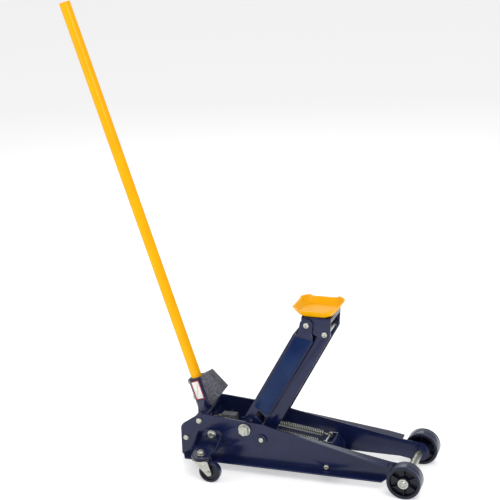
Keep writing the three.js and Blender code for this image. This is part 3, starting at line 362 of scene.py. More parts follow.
def focus(obj: bpy.types.Object) -> None:
    """Leaves object mode's selection on one object alone.

    Args:
        obj: The object to select and make active.
    """
    if bpy.context.object and bpy.context.object.mode != "OBJECT":
        bpy.ops.object.mode_set(mode="OBJECT")
    bpy.ops.object.select_all(action="DESELECT")
    obj.select_set(True)
    bpy.context.view_layer.objects.active = obj


def clear_selection() -> None:
    """Deselects everything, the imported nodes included."""
    if bpy.context.object and bpy.context.object.mode != "OBJECT":
        bpy.ops.object.mode_set(mode="OBJECT")
    bpy.ops.object.select_all(action="DESELECT")


def settle(obj: bpy.types.Object) -> bpy.types.Object:
    """Puts an object's place into its mesh.

    Args:
        obj: The object, wherever it stands.

    Returns:
        The same object, at the origin.
    """
    focus(obj)
    bpy.ops.object.transform_apply(location=True, rotation=True, scale=True)
    return obj


def add_cylinder(
    centre: Vector, axis: Axis, radius: float, length: float, sides: int = 48
) -> bpy.types.Object:
    """Adds a cylinder as the start of a turned part.

    Args:
        centre: The middle of its length.
        axis: The direction that it lies along.
        radius: Its radius.
        length: Its length.
        sides: The number of its flat sides.

    Returns:
        The new object, at the origin.
    """
    clear_selection()
    bpy.ops.mesh.primitive_cylinder_add(
        vertices=sides, radius=radius, depth=length, location=centre, rotation=axis.value
    )
    return settle(bpy.context.object)


def add_box(low: Vector, high: Vector) -> bpy.types.Object:
    """Adds a box as the start of a block or a plate.

    Args:
        low: Its lowest corner.
        high: Its highest corner.

    Returns:
        The new object, at the origin.
    """
    clear_selection()
    low, high = Vector(low), Vector(high)
    bpy.ops.mesh.primitive_cube_add(size=1, location=(low + high) / 2, scale=high - low)
    return settle(bpy.context.object)


def add_ring(centre: Vector, axis: Axis, radius: float, wire: float, around: int = 40) -> bpy.types.Object:
    """Adds a ring of round wire.

    Args:
        centre: The ring's centre.
        axis: The direction that its hole points along.
        radius: From the centre to the middle of the wire.
        wire: The wire's radius.
        around: Segments round the ring.

    Returns:
        The new object, at the origin.
    """
    clear_selection()
    bpy.ops.mesh.primitive_torus_add(
        major_radius=radius, minor_radius=wire, major_segments=around, minor_segments=12, location=centre,
        rotation=axis.value,
    )
    return settle(bpy.context.object)


def edit(obj: bpy.types.Object) -> None:
    """Opens an object in edit mode with nothing selected.

    Args:
        obj: The object.
    """
    focus(obj)
    bpy.ops.object.mode_set(mode="EDIT")
    bpy.ops.mesh.select_mode(type="FACE")
    bpy.ops.mesh.select_all(action="DESELECT")


def leave_edit() -> None:
    """Goes back to object mode."""
    bpy.ops.object.mode_set(mode="OBJECT")


def pick_faces(obj: bpy.types.Object, test: FaceTest) -> None:
    """Selects, in edit mode, only the faces that pass a test of place and normal.

    Args:
        obj: The object being edited.
        test: Given a face's centre and normal, whether to take it.
    """
    bpy.ops.mesh.select_mode(type="FACE")
    bpy.ops.mesh.select_all(action="DESELECT")
    mesh = bmesh.from_edit_mesh(obj.data)
    for face in mesh.faces:
        face.select_set(test(face.calc_center_median(), face.normal))
    bmesh.update_edit_mesh(obj.data)


def pick_edges(obj: bpy.types.Object, test: FaceTest) -> None:
    """Selects, in edit mode, only the edges that pass a test of middle and direction.

    Args:
        obj: The object being edited.
        test: Given an edge's middle and direction, whether to take it.
    """
    bpy.ops.mesh.select_mode(type="EDGE")
    bpy.ops.mesh.select_all(action="DESELECT")
    mesh = bmesh.from_edit_mesh(obj.data)
    for edge in mesh.edges:
        first, second = (v.co for v in edge.verts)
        edge.select_set(test((first + second) / 2, (second - first).normalized()))
    bmesh.update_edit_mesh(obj.data)


def extrude(move: Vector) -> None:
    """Extrudes the selected faces along a vector.

    Args:
        move: How far they go, and which way.
    """
    bpy.ops.mesh.extrude_region_move(TRANSFORM_OT_translate={"value": tuple(move)})


def turn_end(obj: bpy.types.Object, outward: Vector, steps: Iterable[tuple[float, float]]) -> None:
    """Shapes the end of a turned part by steps inwards and outwards.

    Args:
        obj: The turned part, in edit mode.
        outward: The direction that the end faces.
        steps: For each step, how far in towards the axis and how far out along it.
    """
    outward = Vector(outward)
    far = max(outward.dot(v.co) for v in bmesh.from_edit_mesh(obj.data).verts)
    pick_faces(obj, lambda centre, normal: normal.dot(outward) > 0.99 and outward.dot(centre) > far - 1e-5)
    for inward, rise in steps:
        if inward:
            bpy.ops.mesh.inset(thickness=inward, depth=rise)
        else:
            extrude(outward * rise)


def bore_through(obj: bpy.types.Object, outward: Vector, steps: Iterable[tuple[float, float]]) -> None:
    """Shapes both ends of a turned part alike, then joins their middles into a bore.

    Args:
        obj: The turned part, in edit mode.
        outward: The direction of one end.
        steps: The steps of each end, as for turn_end.
    """
    steps = list(steps)
    outward = Vector(outward)
    middles = []
    for direction in (outward, -outward):
        turn_end(obj, direction, steps)
        mesh = bmesh.from_edit_mesh(obj.data)
        middles += [
            (face.calc_center_median().copy(), face.normal.copy()) for face in mesh.faces if face.select
        ]
    pick_faces(
        obj,
        lambda centre, normal: any((centre - c).length < 1e-6 and normal.dot(n) > 0.99 for c, n in middles)
    )
    bpy.ops.mesh.bridge_edge_loops()


def apply_modifier(obj: bpy.types.Object, kind: str, **settings: Any) -> None:
    """Adds a modifier to an object and applies it.

    Args:
        obj: The object.
        kind: The modifier's type.
        **settings: Its settings.
    """
    focus(obj)
    modifier = obj.modifiers.new(kind.title(), kind)
    for key, value in settings.items():
        setattr(modifier, key, value)
    bpy.ops.object.modifier_apply(modifier=modifier.name)


def soften(obj: bpy.types.Object, width: float, segments: int = 2, over: float = 40.0) -> None:
    """Rounds an object's sharp edges.

    Args:
        obj: The object.
        width: How far the rounding reaches from the edge.
        segments: Faces across the rounding.
        over: The least angle between two faces that counts as sharp, in degrees.
    """
    apply_modifier(
        obj, "BEVEL", width=width, segments=segments, limit_method="ANGLE", angle_limit=math.radians(over),
        use_clamp_overlap=True,
    )


def merge(parts: list[bpy.types.Object]) -> bpy.types.Object:
    """Joins several objects into the first.

    Args:
        parts: The objects.

    Returns:
        The first object, now holding them all.
    """
    focus(parts[0])
    for part in parts[1:]:
        part.select_set(True)
    bpy.ops.object.join()
    return parts[0]


def pressed_from(node: str, weld: float = 1e-6) -> bpy.types.Object:
    """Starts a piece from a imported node's own shape, with its flat faces whole.

    Args:
        node: The node's name.
        weld: How near two corners are to be one.

    Returns:
        The new object.
    """
    source = frame["nodes"][node]
    obj = bpy.data.objects.new(node, source.data.copy())
    bpy.context.scene.collection.objects.link(obj)
    obj.data.materials.clear()
    focus(obj)
    if obj.data.has_custom_normals:
        bpy.ops.mesh.customdata_custom_splitnormals_clear()
    bpy.ops.object.mode_set(mode="EDIT")
    bpy.ops.mesh.select_all(action="SELECT")
    bpy.ops.mesh.remove_doubles(threshold=weld)
    bpy.ops.mesh.dissolve_limited(angle_limit=math.radians(0.6))
    bpy.ops.object.mode_set(mode="OBJECT")
    return obj


def paint(obj: bpy.types.Object, finish: Finish, test: FaceTest) -> None:
    """Gives some of an object's faces a finish of their own.

    Args:
        obj: The object, out of edit mode.
        finish: The finish for those faces.
        test: Given a face's centre and normal, whether to take it.
    """
    obj.data.materials.append(finish.build())
    index = len(obj.data.materials) - 1
    for face in obj.data.polygons:
        if test(face.center, face.normal):
            face.material_index = index


def finish_piece(
    obj: bpy.types.Object, name: str, body: str, nodes: Iterable[str], finish: Finish, smooth: float = 35.0
) -> None:
    """Names, shades, dresses and mounts a finished piece.

    Args:
        obj: The piece.
        name: The name it is given.
        body: The body that it moves with.
        nodes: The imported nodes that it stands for.
        finish: The finish of every face not painted already.
        smooth: The angle up to which faces shade as one surface, in degrees.
    """
    obj.name = name
    obj.data.name = name
    if obj.data.materials:
        if obj.data.materials[0] is None:
            obj.data.materials[0] = finish.build()
    else:
        obj.data.materials.append(finish.build())
    focus(obj)
    bpy.ops.object.shade_smooth_by_angle(angle=math.radians(smooth))
    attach(obj, body)
    if nodes:
        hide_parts(*nodes)
    LOG.info("%s: %d faces on %s", name, len(obj.data.polygons), body)


def node_centre(node: str) -> Vector:
    """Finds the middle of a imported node's box.

    Args:
        node: The node's name.

    Returns:
        The middle.
    """
    low, high = (Vector(corner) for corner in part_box(node))
    return (low + high) / 2


def node_size(node: str) -> Vector:
    """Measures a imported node's box.

    Args:
        node: The node's name.

    Returns:
        Its length, width and height.
    """
    low, high = (Vector(corner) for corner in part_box(node))
    return high - low


# ---------------------------------------------------------------- wheels and casters


@dataclass
class FrontWheel:
    """One front wheel: a moulded body with a deep recess and ribs, and a glossy tread."""

    side: Side
    rib_count: int = 6
    rib_half: float = 1.5 * MM
    rim_width: float = 6.0 * MM
    edge: float = 2.5 * MM
    recess: float = 15.0 * MM
    lip: float = 1.2 * MM
    lip_depth: float = 2.0 * MM
    fall: float = 0.5 * MM
    hub_radius: float = 15.0 * MM
    hub_chamfer: float = 1.0 * MM
    bore_radius: float = 9.6 * MM
    rib_inset: float = 4.0 * MM
    rib_sink: float = 1.5 * MM
    rib_taper: float = 0.6
    groove_inset: float = 7.0 * MM
    groove_width: float = 1.0 * MM
    groove_depth: float = 0.4 * MM
    rounding: float = 0.5 * MM

    def build(self) -> None:
        """Models, dresses and mounts the wheel."""
        node = f"front_wheel_{self.side.word}"
        centre, size = node_centre(node), node_size(node)
        radius, half = size.x / 2, size.y / 2
        wheel = add_cylinder(centre, Axis.Y, radius, 2 * (half - self.edge), 72)
        web = radius - self.edge - self.rim_width
        edit(wheel)
        bore_through(
            wheel,
            Vector((0, 1, 0)),
            [
                (self.edge * 0.45, self.edge * 0.75),
                (self.edge * 0.55, self.edge * 0.25),
                (self.rim_width, 0.0),
                (self.lip, -self.lip_depth),
                (0.0, self.lip_depth - self.recess),
                (web - self.hub_radius - self.lip - self.hub_chamfer, -self.fall),
                (0.0, self.recess + self.fall - self.hub_chamfer),
                (self.hub_chamfer, self.hub_chamfer),
                (self.hub_radius - self.bore_radius, 0.0),
            ],
        )
        leave_edit()
        ribs = [self.rib(centre, web, half, turn) for turn in range(self.rib_count)]
        wheel = merge([wheel, *ribs])
        self.groove(wheel, centre, radius, half)
        soften(wheel, self.rounding, 2, 32)
        wheel.data.materials.append(NYLON.build())
        tread = radius - self.edge
        paint(wheel, TREAD, lambda c, n: math.hypot(c.x - centre.x, c.z - centre.z) > tread)
        finish_piece(wheel, f"front_wheel_body_{self.side.word}", node, [node], NYLON, 30)

    def rib(self, centre: Vector, web: float, half: float, turn: int) -> bpy.types.Object:
        """Models one rib from the hub to the rim, thinner at its outer edge.

        Args:
            centre: The wheel's centre.
            web: The inner radius of the rim.
            half: Half the wheel's width.
            turn: Which rib it is, counted round the wheel.

        Returns:
            The rib.
        """
        inner, outer = self.hub_radius - self.rib_sink, web - FIT
        rib = add_box(
            centre + Vector((inner, self.rib_inset - half, -self.rib_half)),
            centre + Vector((outer, half - self.rib_inset, self.rib_half)),
        )
        edit(rib)
        pick_faces(rib, lambda c, n: abs(n.y) > 0.9)
        bpy.ops.transform.resize(value=(1, 1, self.rib_taper))
        leave_edit()
        angle = 2 * math.pi * (turn + 0.5) / self.rib_count
        to_hub = Matrix.Translation(centre)
        rib.data.transform(to_hub @ Matrix.Rotation(angle, 4, "Y") @ to_hub.inverted())
        return rib

    def groove(self, wheel: bpy.types.Object, centre: Vector, radius: float, half: float) -> None:
        """Presses two thin rings into the tread, near its edges.

        Args:
            wheel: The wheel.
            centre: Its centre.
            radius: Its radius.
            half: Half its width.
        """
        outer = half - self.groove_inset
        inner = outer - self.groove_width
        middle = (outer + inner) / 2

        def on_tread(place: Vector, normal: Vector) -> bool:
            """Tells the faces of the tread from the rest.

            Args:
                place: The middle of a face.
                normal: Its direction.

            Returns:
                Whether it is on the tread.
            """
            return abs(normal.y) < 0.1 and math.hypot(
                place.x - centre.x, place.z - centre.z
            ) > radius - 1 * MM

        edit(wheel)
        for offset in (-outer, -inner, inner, outer):
            pick_faces(wheel, on_tread)
            bpy.ops.mesh.bisect(plane_co=centre + Vector((0, offset, 0)), plane_no=(0, 1, 0))
        pick_faces(
            wheel, lambda c, n: on_tread(c, n) and abs(abs(c.y - centre.y) - middle) < self.groove_width / 2
        )
        bpy.ops.mesh.inset(thickness=0.15 * MM, depth=-self.groove_depth, use_boundary=True)
        leave_edit()


@dataclass
class WheelWasher:
    """The plain washer that keeps a front wheel on its axle."""

    side: Side
    bore_radius: float = 9.3 * MM

    def build(self) -> None:
        """Models, dresses and mounts the washer."""
        node = f"wheel_retainer_{self.side.word}"
        centre, size = node_centre(node), node_size(node)
        washer = add_cylinder(centre, Axis.Y, size.x / 2, size.y, 48)
        edit(washer)
        bore_through(washer, Vector((0, 1, 0)), [(size.x / 2 - self.bore_radius, 0.0)])
        leave_edit()
        soften(washer, 0.5 * MM, 3)
        finish_piece(washer, f"axle_washer_{self.side.word}", "chassis", [node], ZINC)


@dataclass
class Axle:
    """The front axle: a bar with a shoulder, a retaining groove and a chamfer at each end."""

    step: float = 2.0 * MM
    chamfer: float = 1.2 * MM
    shoulder_inset: float = 10.0 * MM
    groove: float = 0.7 * MM
    lip: float = 2.6 * MM
    drill_inset: float = 2.0 * MM
    drill: float = 0.8 * MM

    def build(self) -> None:
        """Models, dresses and mounts the axle."""
        node = "front_axle"
        centre, size = node_centre(node), node_size(node)
        radius = size.x / 2
        shoulder = abs(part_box("front_wheel_left")[0][1]) - self.shoulder_inset
        axle = add_cylinder(centre, Axis.Y, radius, 2 * shoulder, 48)
        reach = size.y / 2 - shoulder
        edit(axle)
        for outward in (Vector((0, 1, 0)), Vector((0, -1, 0))):
            turn_end(
                axle,
                outward,
                [
                    (self.step, 0.0),
                    (0.0, reach - self.lip),
                    (self.groove, 0.0),
                    (0.0, self.groove),
                    (-self.groove, 0.0),
                    (0.0, self.lip - self.groove - self.chamfer),
                    (self.chamfer, self.chamfer),
                    (self.drill_inset, 0.0),
                    (self.drill, -self.drill),
                ],
            )
        leave_edit()
        finish_piece(axle, "front_axle_bar", "chassis", [node], ZINC)


@dataclass
class Caster:
    """One swivel caster: a pressed fork with its raceway, an axle, and a wheel with a hub."""

    side: Side
    hub_radius: float = 10.0 * MM
    bore_radius: float = 4.7 * MM
    edge: float = 3.0 * MM
    rim: float = 5.5 * MM
    recess: float = 5.0 * MM
    slope: float = 1.0 * MM
    side_play: float = 1.0 * MM
    hub_slope: float = 1.2 * MM
    tread_depth: float = 1.5 * MM
    rivet_head: float = 3.0 * MM
    raceway_radius: float = 22.6 * MM
    raceway_wire: float = 1.3 * MM
    raceway_drop: float = 7.4 * MM
    nut_across: float = 21.5 * MM
    nut_height: float = 10.0 * MM
    nut_top: float = 2.0 * MM
    washer_height: float = 1.8 * MM
    shank_radius: float = 6.0 * MM

    def build(self) -> None:
        """Models, dresses and mounts the caster's pieces."""
        self.wheel()
        self.axle()
        self.fork()
        self.swivel_bolt()

    def wheel(self) -> None:
        """Models the wheel: a round tread, a recessed disc and a hub."""
        node = f"caster_wheel_{self.side.word}"
        centre, size = node_centre(node), node_size(node)
        radius, half = size.x / 2, size.y / 2
        rim_half = half - self.side_play
        wheel = add_cylinder(centre, Axis.Y, radius, 2 * (rim_half - self.edge), 60)
        disc = radius - self.edge - self.rim - self.slope
        edit(wheel)
        bore_through(
            wheel,
            Vector((0, 1, 0)),
            [
                (self.edge * 0.35, self.edge * 0.6),
                (self.edge * 0.65, self.edge * 0.4),
                (self.rim, 0.0),
                (self.slope, self.side_play - self.recess),
                (disc - self.hub_radius - self.hub_slope, 0.0),
                (self.hub_slope, self.recess),
                (self.hub_radius - self.bore_radius, 0.0),
            ],
        )
        leave_edit()
        soften(wheel, 0.5 * MM, 2, 28)
        wheel.data.materials.append(NYLON.build())
        tread = radius - self.tread_depth
        paint(wheel, TREAD, lambda c, n: math.hypot(c.x - centre.x, c.z - centre.z) > tread)
        finish_piece(wheel, f"caster_roller_{self.side.word}", node, [node], NYLON)

    def axle(self) -> None:
        """Models the axle rivet with a domed head at each end."""
        node = f"caster_axle_{self.side.word}"
        centre, size = node_centre(node), node_size(node)
        head, radius = self.rivet_head, size.x / 2
        axle = add_cylinder(centre, Axis.Y, radius, size.y - 2 * head, 40)
        edit(axle)
        for outward in (Vector((0, 1, 0)), Vector((0, -1, 0))):
            turn_end(
                axle,
                outward,
                [(0.0, head * 0.55), (radius * 0.15, head * 0.3), (radius * 0.4, head * 0.15)],
            )
        leave_edit()
        finish_piece(axle, f"caster_rivet_{self.side.word}", f"caster_{self.side.word}", [node], ZINC)

    def fork(self) -> None:
        """Rounds the pressed fork and adds the raceway's rolled rim."""
        node = f"caster_fork_{self.side.word}"
        fork = pressed_from(node)
        soften(fork, 0.7 * MM, 2, 50)
        bolt = node_centre(f"caster_bolt_{self.side.word}")
        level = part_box(node)[1][2] - self.raceway_drop
        raceway = add_ring(
            Vector((bolt.x, bolt.y, level)), Axis.Z, self.raceway_radius, self.raceway_wire, 48
        )
        fork = merge([fork, raceway])
        finish_piece(fork, f"caster_yoke_{self.side.word}", f"caster_{self.side.word}", [node], ZINC, 40)

    def swivel_bolt(self) -> None:
        """Models the swivel bolt with its washer and nut above the shelf."""
        node = f"caster_bolt_{self.side.word}"
        centre, size = node_centre(node), node_size(node)
        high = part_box(node)[1][2]
        seat = high - self.nut_top - self.nut_height
        nut = hexagon(
            Vector((centre.x, centre.y, seat)), Axis.Z, self.nut_across / 2, self.nut_height, 1.0 * MM
        )
        washer = add_cylinder(
            Vector((centre.x, centre.y, seat - self.washer_height / 3)), Axis.Z, size.x / 2,
            self.washer_height, 40,
        )
        soften(washer, 0.4 * MM, 2)
        shank = add_cylinder(
            Vector((centre.x, centre.y, high - size.z / 2)), Axis.Z, self.shank_radius, size.z, 32
        )
        edit(shank)
        turn_end(shank, Vector((0, 0, 1)), [(0.9 * MM, 0.0)])
        leave_edit()
        soften(shank, 0.5 * MM, 2)
        bolt = merge([nut, washer, shank])
        finish_piece(bolt, f"caster_swivel_bolt_{self.side.word}", "chassis", [node], ZINC)


def hexagon(base: Vector, axis: Axis, radius: float, height: float, chamfer: float) -> bpy.types.Object:
    """Models a hexagon head with chamfered corners.

    Args:
        base: The middle of the face that it stands on.
        axis: The direction of its length.
        radius: From its axis to a corner.
        height: How far it stands up; a negative height stands down.
        chamfer: The size of the chamfer round its top.

    Returns:
        The head.
    """
    direction = Vector((0, 0, 1))
    direction.rotate(
        Matrix.Rotation(axis.value[0], 3, "X")
        if axis is not Axis.X
        else Matrix.Rotation(axis.value[1], 3, "Y")
    )
    body = abs(height) - chamfer
    outward = direction * math.copysign(1, height)
    head = add_cylinder(Vector(base) + outward * body / 2, axis, radius, body, 6)
    edit(head)
    turn_end(head, outward, [(chamfer * 1.2, chamfer), (radius * 0.22, 0.0), (0.5 * MM, -0.35 * MM)])
    leave_edit()
    soften(head, 0.3 * MM, 2, 25)
    return head


# ---------------------------------------------------------------- fasteners and springs


def side_point(x: float, y: float, z: float, side: Side) -> Vector:
    """Places a point on one side of the chassis, from its distance to the middle plane.

    Args:
        x: How far forward it is.
        y: How far from the middle plane.
        z: How high.
        side: The side that it is on.

    Returns:
        The point.
    """
    return Vector((x, side.value * y, z))


@dataclass
class HexBolt:
    """A hexagon bolt through a side plate: a chamfered head on a round washer face."""

    node: str
    name: str
    side: Side
    head_radius: float
    washer_radius: float
    shank_radius: float
    head_height: float = 4.0 * MM
    washer_height: float = 2.0 * MM
    chamfer: float = 0.8 * MM
    overlap: float = 1.0 * MM

    def build(self) -> None:
        """Models, dresses and mounts the bolt."""
        node = f"{self.node}_{self.side.word}"
        low, high = (Vector(c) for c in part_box(node))
        centre = (low + high) / 2
        outer = max(abs(low.y), abs(high.y))
        inner = min(abs(low.y), abs(high.y))
        seat = outer - self.head_height
        sign = self.side.value
        head = hexagon(
            side_point(centre.x, seat, centre.z, self.side), Axis.Y, self.head_radius,
            sign * self.head_height, self.chamfer,
        )
        washer = add_cylinder(
            side_point(centre.x, seat - self.washer_height / 2, centre.z, self.side), Axis.Y,
            self.washer_radius,
            self.washer_height, 44,
        )
        soften(washer, 0.45 * MM, 2)
        length = seat - self.washer_height - inner + self.overlap
        shank = add_cylinder(
            side_point(centre.x, inner + length / 2, centre.z, self.side), Axis.Y, self.shank_radius,
            length, 28
        )
        edit(shank)
        turn_end(shank, Vector((0, -sign, 0)), [(0.6 * MM, 0.6 * MM)])
        leave_edit()
        bolt = merge([head, washer, shank])
        finish_piece(bolt, f"{self.name}_{self.side.word}", "chassis", [node], ZINC, 30)


@dataclass
class LinkPivotBolt:
    """The levelling link's pivot: a plated screw in a painted boss ring."""

    side: Side
    ring_radius: float = 15.0 * MM
    ring_height: float = 3.5 * MM
    ring_lip: float = 1.6 * MM
    ring_fall: float = 1.2 * MM
    ring_gap: float = 1.8 * MM
    head_radius: float = 7.5 * MM
    stand: float = 8.0 * MM
    sink: float = 1.5 * MM

    def build(self) -> None:
        """Models, dresses and mounts the ring and the screw."""
        node = f"link_pivot_bolt_{self.side.word}"
        low, high = (Vector(c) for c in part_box(node))
        centre = (low + high) / 2
        outer, inner = max(abs(low.y), abs(high.y)), min(abs(low.y), abs(high.y))
        face = outer - self.stand
        outward = Vector((0, self.side.value, 0))
        ring = add_cylinder(
            side_point(centre.x, face + self.ring_height / 2, centre.z, self.side), Axis.Y,
            self.ring_radius,
            self.ring_height, 48,
        )
        edit(ring)
        dish = self.ring_radius - self.head_radius - self.ring_lip - self.ring_gap
        turn_end(ring, outward, [(self.ring_lip, 0.0), (dish, -self.ring_fall)])
        leave_edit()
        soften(ring, 0.6 * MM, 3)
        finish_piece(ring, f"link_pivot_boss_{self.side.word}", "chassis", [], NAVY)
        head_start = face + self.ring_height - self.sink
        screw = add_cylinder(
            side_point(centre.x, (inner + head_start) / 2, centre.z, self.side), Axis.Y,
            self.head_radius - 0.2 * MM,
            head_start - inner, 36,
        )
        head = hexagon(
            side_point(centre.x, head_start, centre.z, self.side), Axis.Y, self.head_radius,
            self.side.value * (outer - head_start), 1.0 * MM,
        )
        screw = merge([screw, head])
        finish_piece(screw, f"link_pivot_screw_{self.side.word}", "chassis", [node], ZINC)


@dataclass
class HeadPin:
    """A plain pin of the saddle head with flat riveted ends."""

    node: str
    body: str
    cap: float = 2.6 * MM
    neck: float = 1.5 * MM
    chamfer: float = 0.8 * MM
    dimple: float = 0.6 * MM
    riveted_beyond: float = 48.0 * MM

    def build(self) -> None:
        """Models, dresses and mounts the pin."""
        low, high = (Vector(c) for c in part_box(self.node))
        centre = (low + high) / 2
        radius = (high.z - low.z) / 2
        ends = [sign for sign in (1, -1) if (high.y if sign > 0 else -low.y) > self.riveted_beyond]
        start = low.y + (self.cap if -1 in ends else 0)
        stop = high.y - (self.cap if 1 in ends else 0)
        pin = add_cylinder(
            Vector((centre.x, (start + stop) / 2, centre.z)), Axis.Y, radius - self.neck, stop - start, 40
        )
        edit(pin)
        for sign in ends:
            turn_end(
                pin,
                Vector((0, sign, 0)),
                [
                    (-self.neck, 0.0),
                    (0.0, self.cap - self.chamfer),
                    (self.chamfer, self.chamfer),
                    (radius * 0.35, 0.0),
                    (self.dimple, -0.4 * MM),
                ],
            )
        leave_edit()
        finish_piece(pin, f"{self.node}_riveted", self.body, [self.node], ZINC)


@dataclass
class ReturnSpring:
    """A coiled extension spring with a round hook at each end."""

    side: Side
    coil_radius: float = 6.9 * MM
    wire: float = 1.7 * MM
    pitch: float = 5.4 * MM
    lead: float = 22.0 * MM
    hook_gap: float = 0.6 * MM
    sink: float = 0.4 * MM
    end_turn: float = 0.62
    kept: float = 0.89

    def build(self) -> None:
        """Models, dresses and mounts the spring."""
        node = f"return_spring_{self.side.word}"
        rod, heel = node_centre("spring_anchor_rod"), node_centre("spring_heel_pin")
        y = node_centre(node).y
        front, rear = Vector((rod.x, y, rod.z)), Vector((heel.x, y, heel.z))
        along = (rear - front).normalized()
        span = (rear - front).length
        turns = int((span - 2 * self.lead) / self.pitch)
        coil = self.coil(turns)
        start = front + along * (span - turns * self.pitch) / 2
        coil.data.transform(Matrix.Translation(start) @ along.to_track_quat("Z", "Y").to_matrix().to_4x4())
        rod_radius, heel_radius = node_size("spring_anchor_rod").x / 2, node_size("spring_heel_pin").x / 2
        parts = [coil]
        coil_start = (span - turns * self.pitch) / 2
        for end, inward, radius in ((front, along, rod_radius), (rear, -along, heel_radius)):
            eye = radius + self.hook_gap + self.wire
            parts.append(add_ring(end, Axis.Y, eye, self.wire, 32))
            hook, inside = end + inward * (eye - self.sink), end + inward * (coil_start + self.hook_gap)
            parts.append(self.stem(hook, inside))
            parts.append(self.closing_turn(end + inward * (coil_start - self.sink / 2), inward))
        spring = merge(parts)
        finish_piece(spring, f"extension_spring_{self.side.word}", "chassis", [node], ZINC, 60)
        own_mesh(spring)

    def coil(self, turns: int) -> bpy.types.Object:
        """Winds the coil along +Z from a ring of wire.

        Args:
            turns: How many turns it has.

        Returns:
            The coil, starting at the origin.
        """
        clear_selection()
        bpy.ops.mesh.primitive_circle_add(
            vertices=8, radius=self.wire, location=(self.coil_radius, 0, 0), rotation=(math.pi / 2, 0, 0)
        )
        coil = settle(bpy.context.object)
        apply_modifier(
            coil, "SCREW", axis="Z", screw_offset=self.pitch, iterations=turns, steps=18, render_steps=18,
            use_merge_vertices=False,
        )
        edit(coil)
        bpy.ops.mesh.select_mode(type="EDGE")
        bpy.ops.mesh.select_non_manifold()
        bpy.ops.mesh.fill_holes(sides=0)
        bpy.ops.mesh.select_all(action="SELECT")
        bpy.ops.mesh.normals_make_consistent(inside=False)
        leave_edit()
        return coil

    def stem(self, first: Vector, last: Vector) -> bpy.types.Object:
        """Models the straight wire between a hook and the coil.

        Args:
            first: Its end at the hook.
            last: Its end in the coil.

        Returns:
            The wire.
        """
        wire = add_cylinder(Vector((0, 0, 0)), Axis.Z, self.wire, (last - first).length, 12)
        edit(wire)
        turn_end(wire, Vector((0, 0, 1)), [(self.wire * 0.4, self.wire * 0.3)])
        leave_edit()
        turn = (last - first).to_track_quat("Z", "Y").to_matrix().to_4x4()
        wire.data.transform(Matrix.Translation((first + last) / 2) @ turn)
        return wire

    def closing_turn(self, place: Vector, inward: Vector) -> bpy.types.Object:
        """Models the narrow turn that closes an end of the coil.

        Args:
            place: The middle of the coil's end.
            inward: The direction into the coil.

        Returns:
            The turn.
        """
        turn = add_ring(Vector((0, 0, 0)), Axis.Z, self.coil_radius * self.end_turn, self.wire, 28)
        turn.data.transform(Matrix.Translation(place) @ inward.to_track_quat("Z", "Y").to_matrix().to_4x4())
        return turn


# ---------------------------------------------------------------- pressings, castings and the handle


def joint_frame(joint: str, direction: Vector) -> Matrix:
    """The place of a part drawn along its own axis from a joint.

    Args:
        joint: The joint that the part turns about.
        direction: The way that the part's own axis points, in the X-Z plane.

    Returns:
        The matrix that takes a part drawn about +X, with +Z above it, to its place.
    """
    place = next(Vector(j["pos_m"]) for j in frame["record"]["behaviour"]["joints"] if j["name"] == joint)
    along = Vector(direction).normalized()
    above = Vector((-along.z, 0, along.x))
    turn = Matrix((along, Vector((0, 1, 0)), above)).transposed().to_4x4()
    return Matrix.Translation(place) @ turn


def handle_frame() -> Matrix:
    """Places a part that is drawn up +Z from the yoke pivot.

    Returns:
        The move from the drawing to the handle's line.
    """
    record = next(j for j in frame["record"]["behaviour"]["joints"] if j["name"] == "handle_twist")
    up = Vector(record["axis"])
    forward = Vector((up.z, 0, -up.x))
    turn = Matrix((forward, Vector((0, 1, 0)), up)).transposed().to_4x4()
    return Matrix.Translation(record["pos_m"]) @ turn


@dataclass
class Pressing:
    """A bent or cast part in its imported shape, with its sharp edges rounded as paint leaves them."""

    node: str
    name: str
    body: str
    finish: Finish
    rounding: float = 0.9 * MM
    segments: int = 2
    over: float = 40.0

    def build(self) -> None:
        """Rounds, dresses and mounts the part."""
        part = pressed_from(self.node)
        soften(part, self.rounding, self.segments, self.over)
        finish_piece(part, self.name, self.body, [self.node], self.finish, 40)


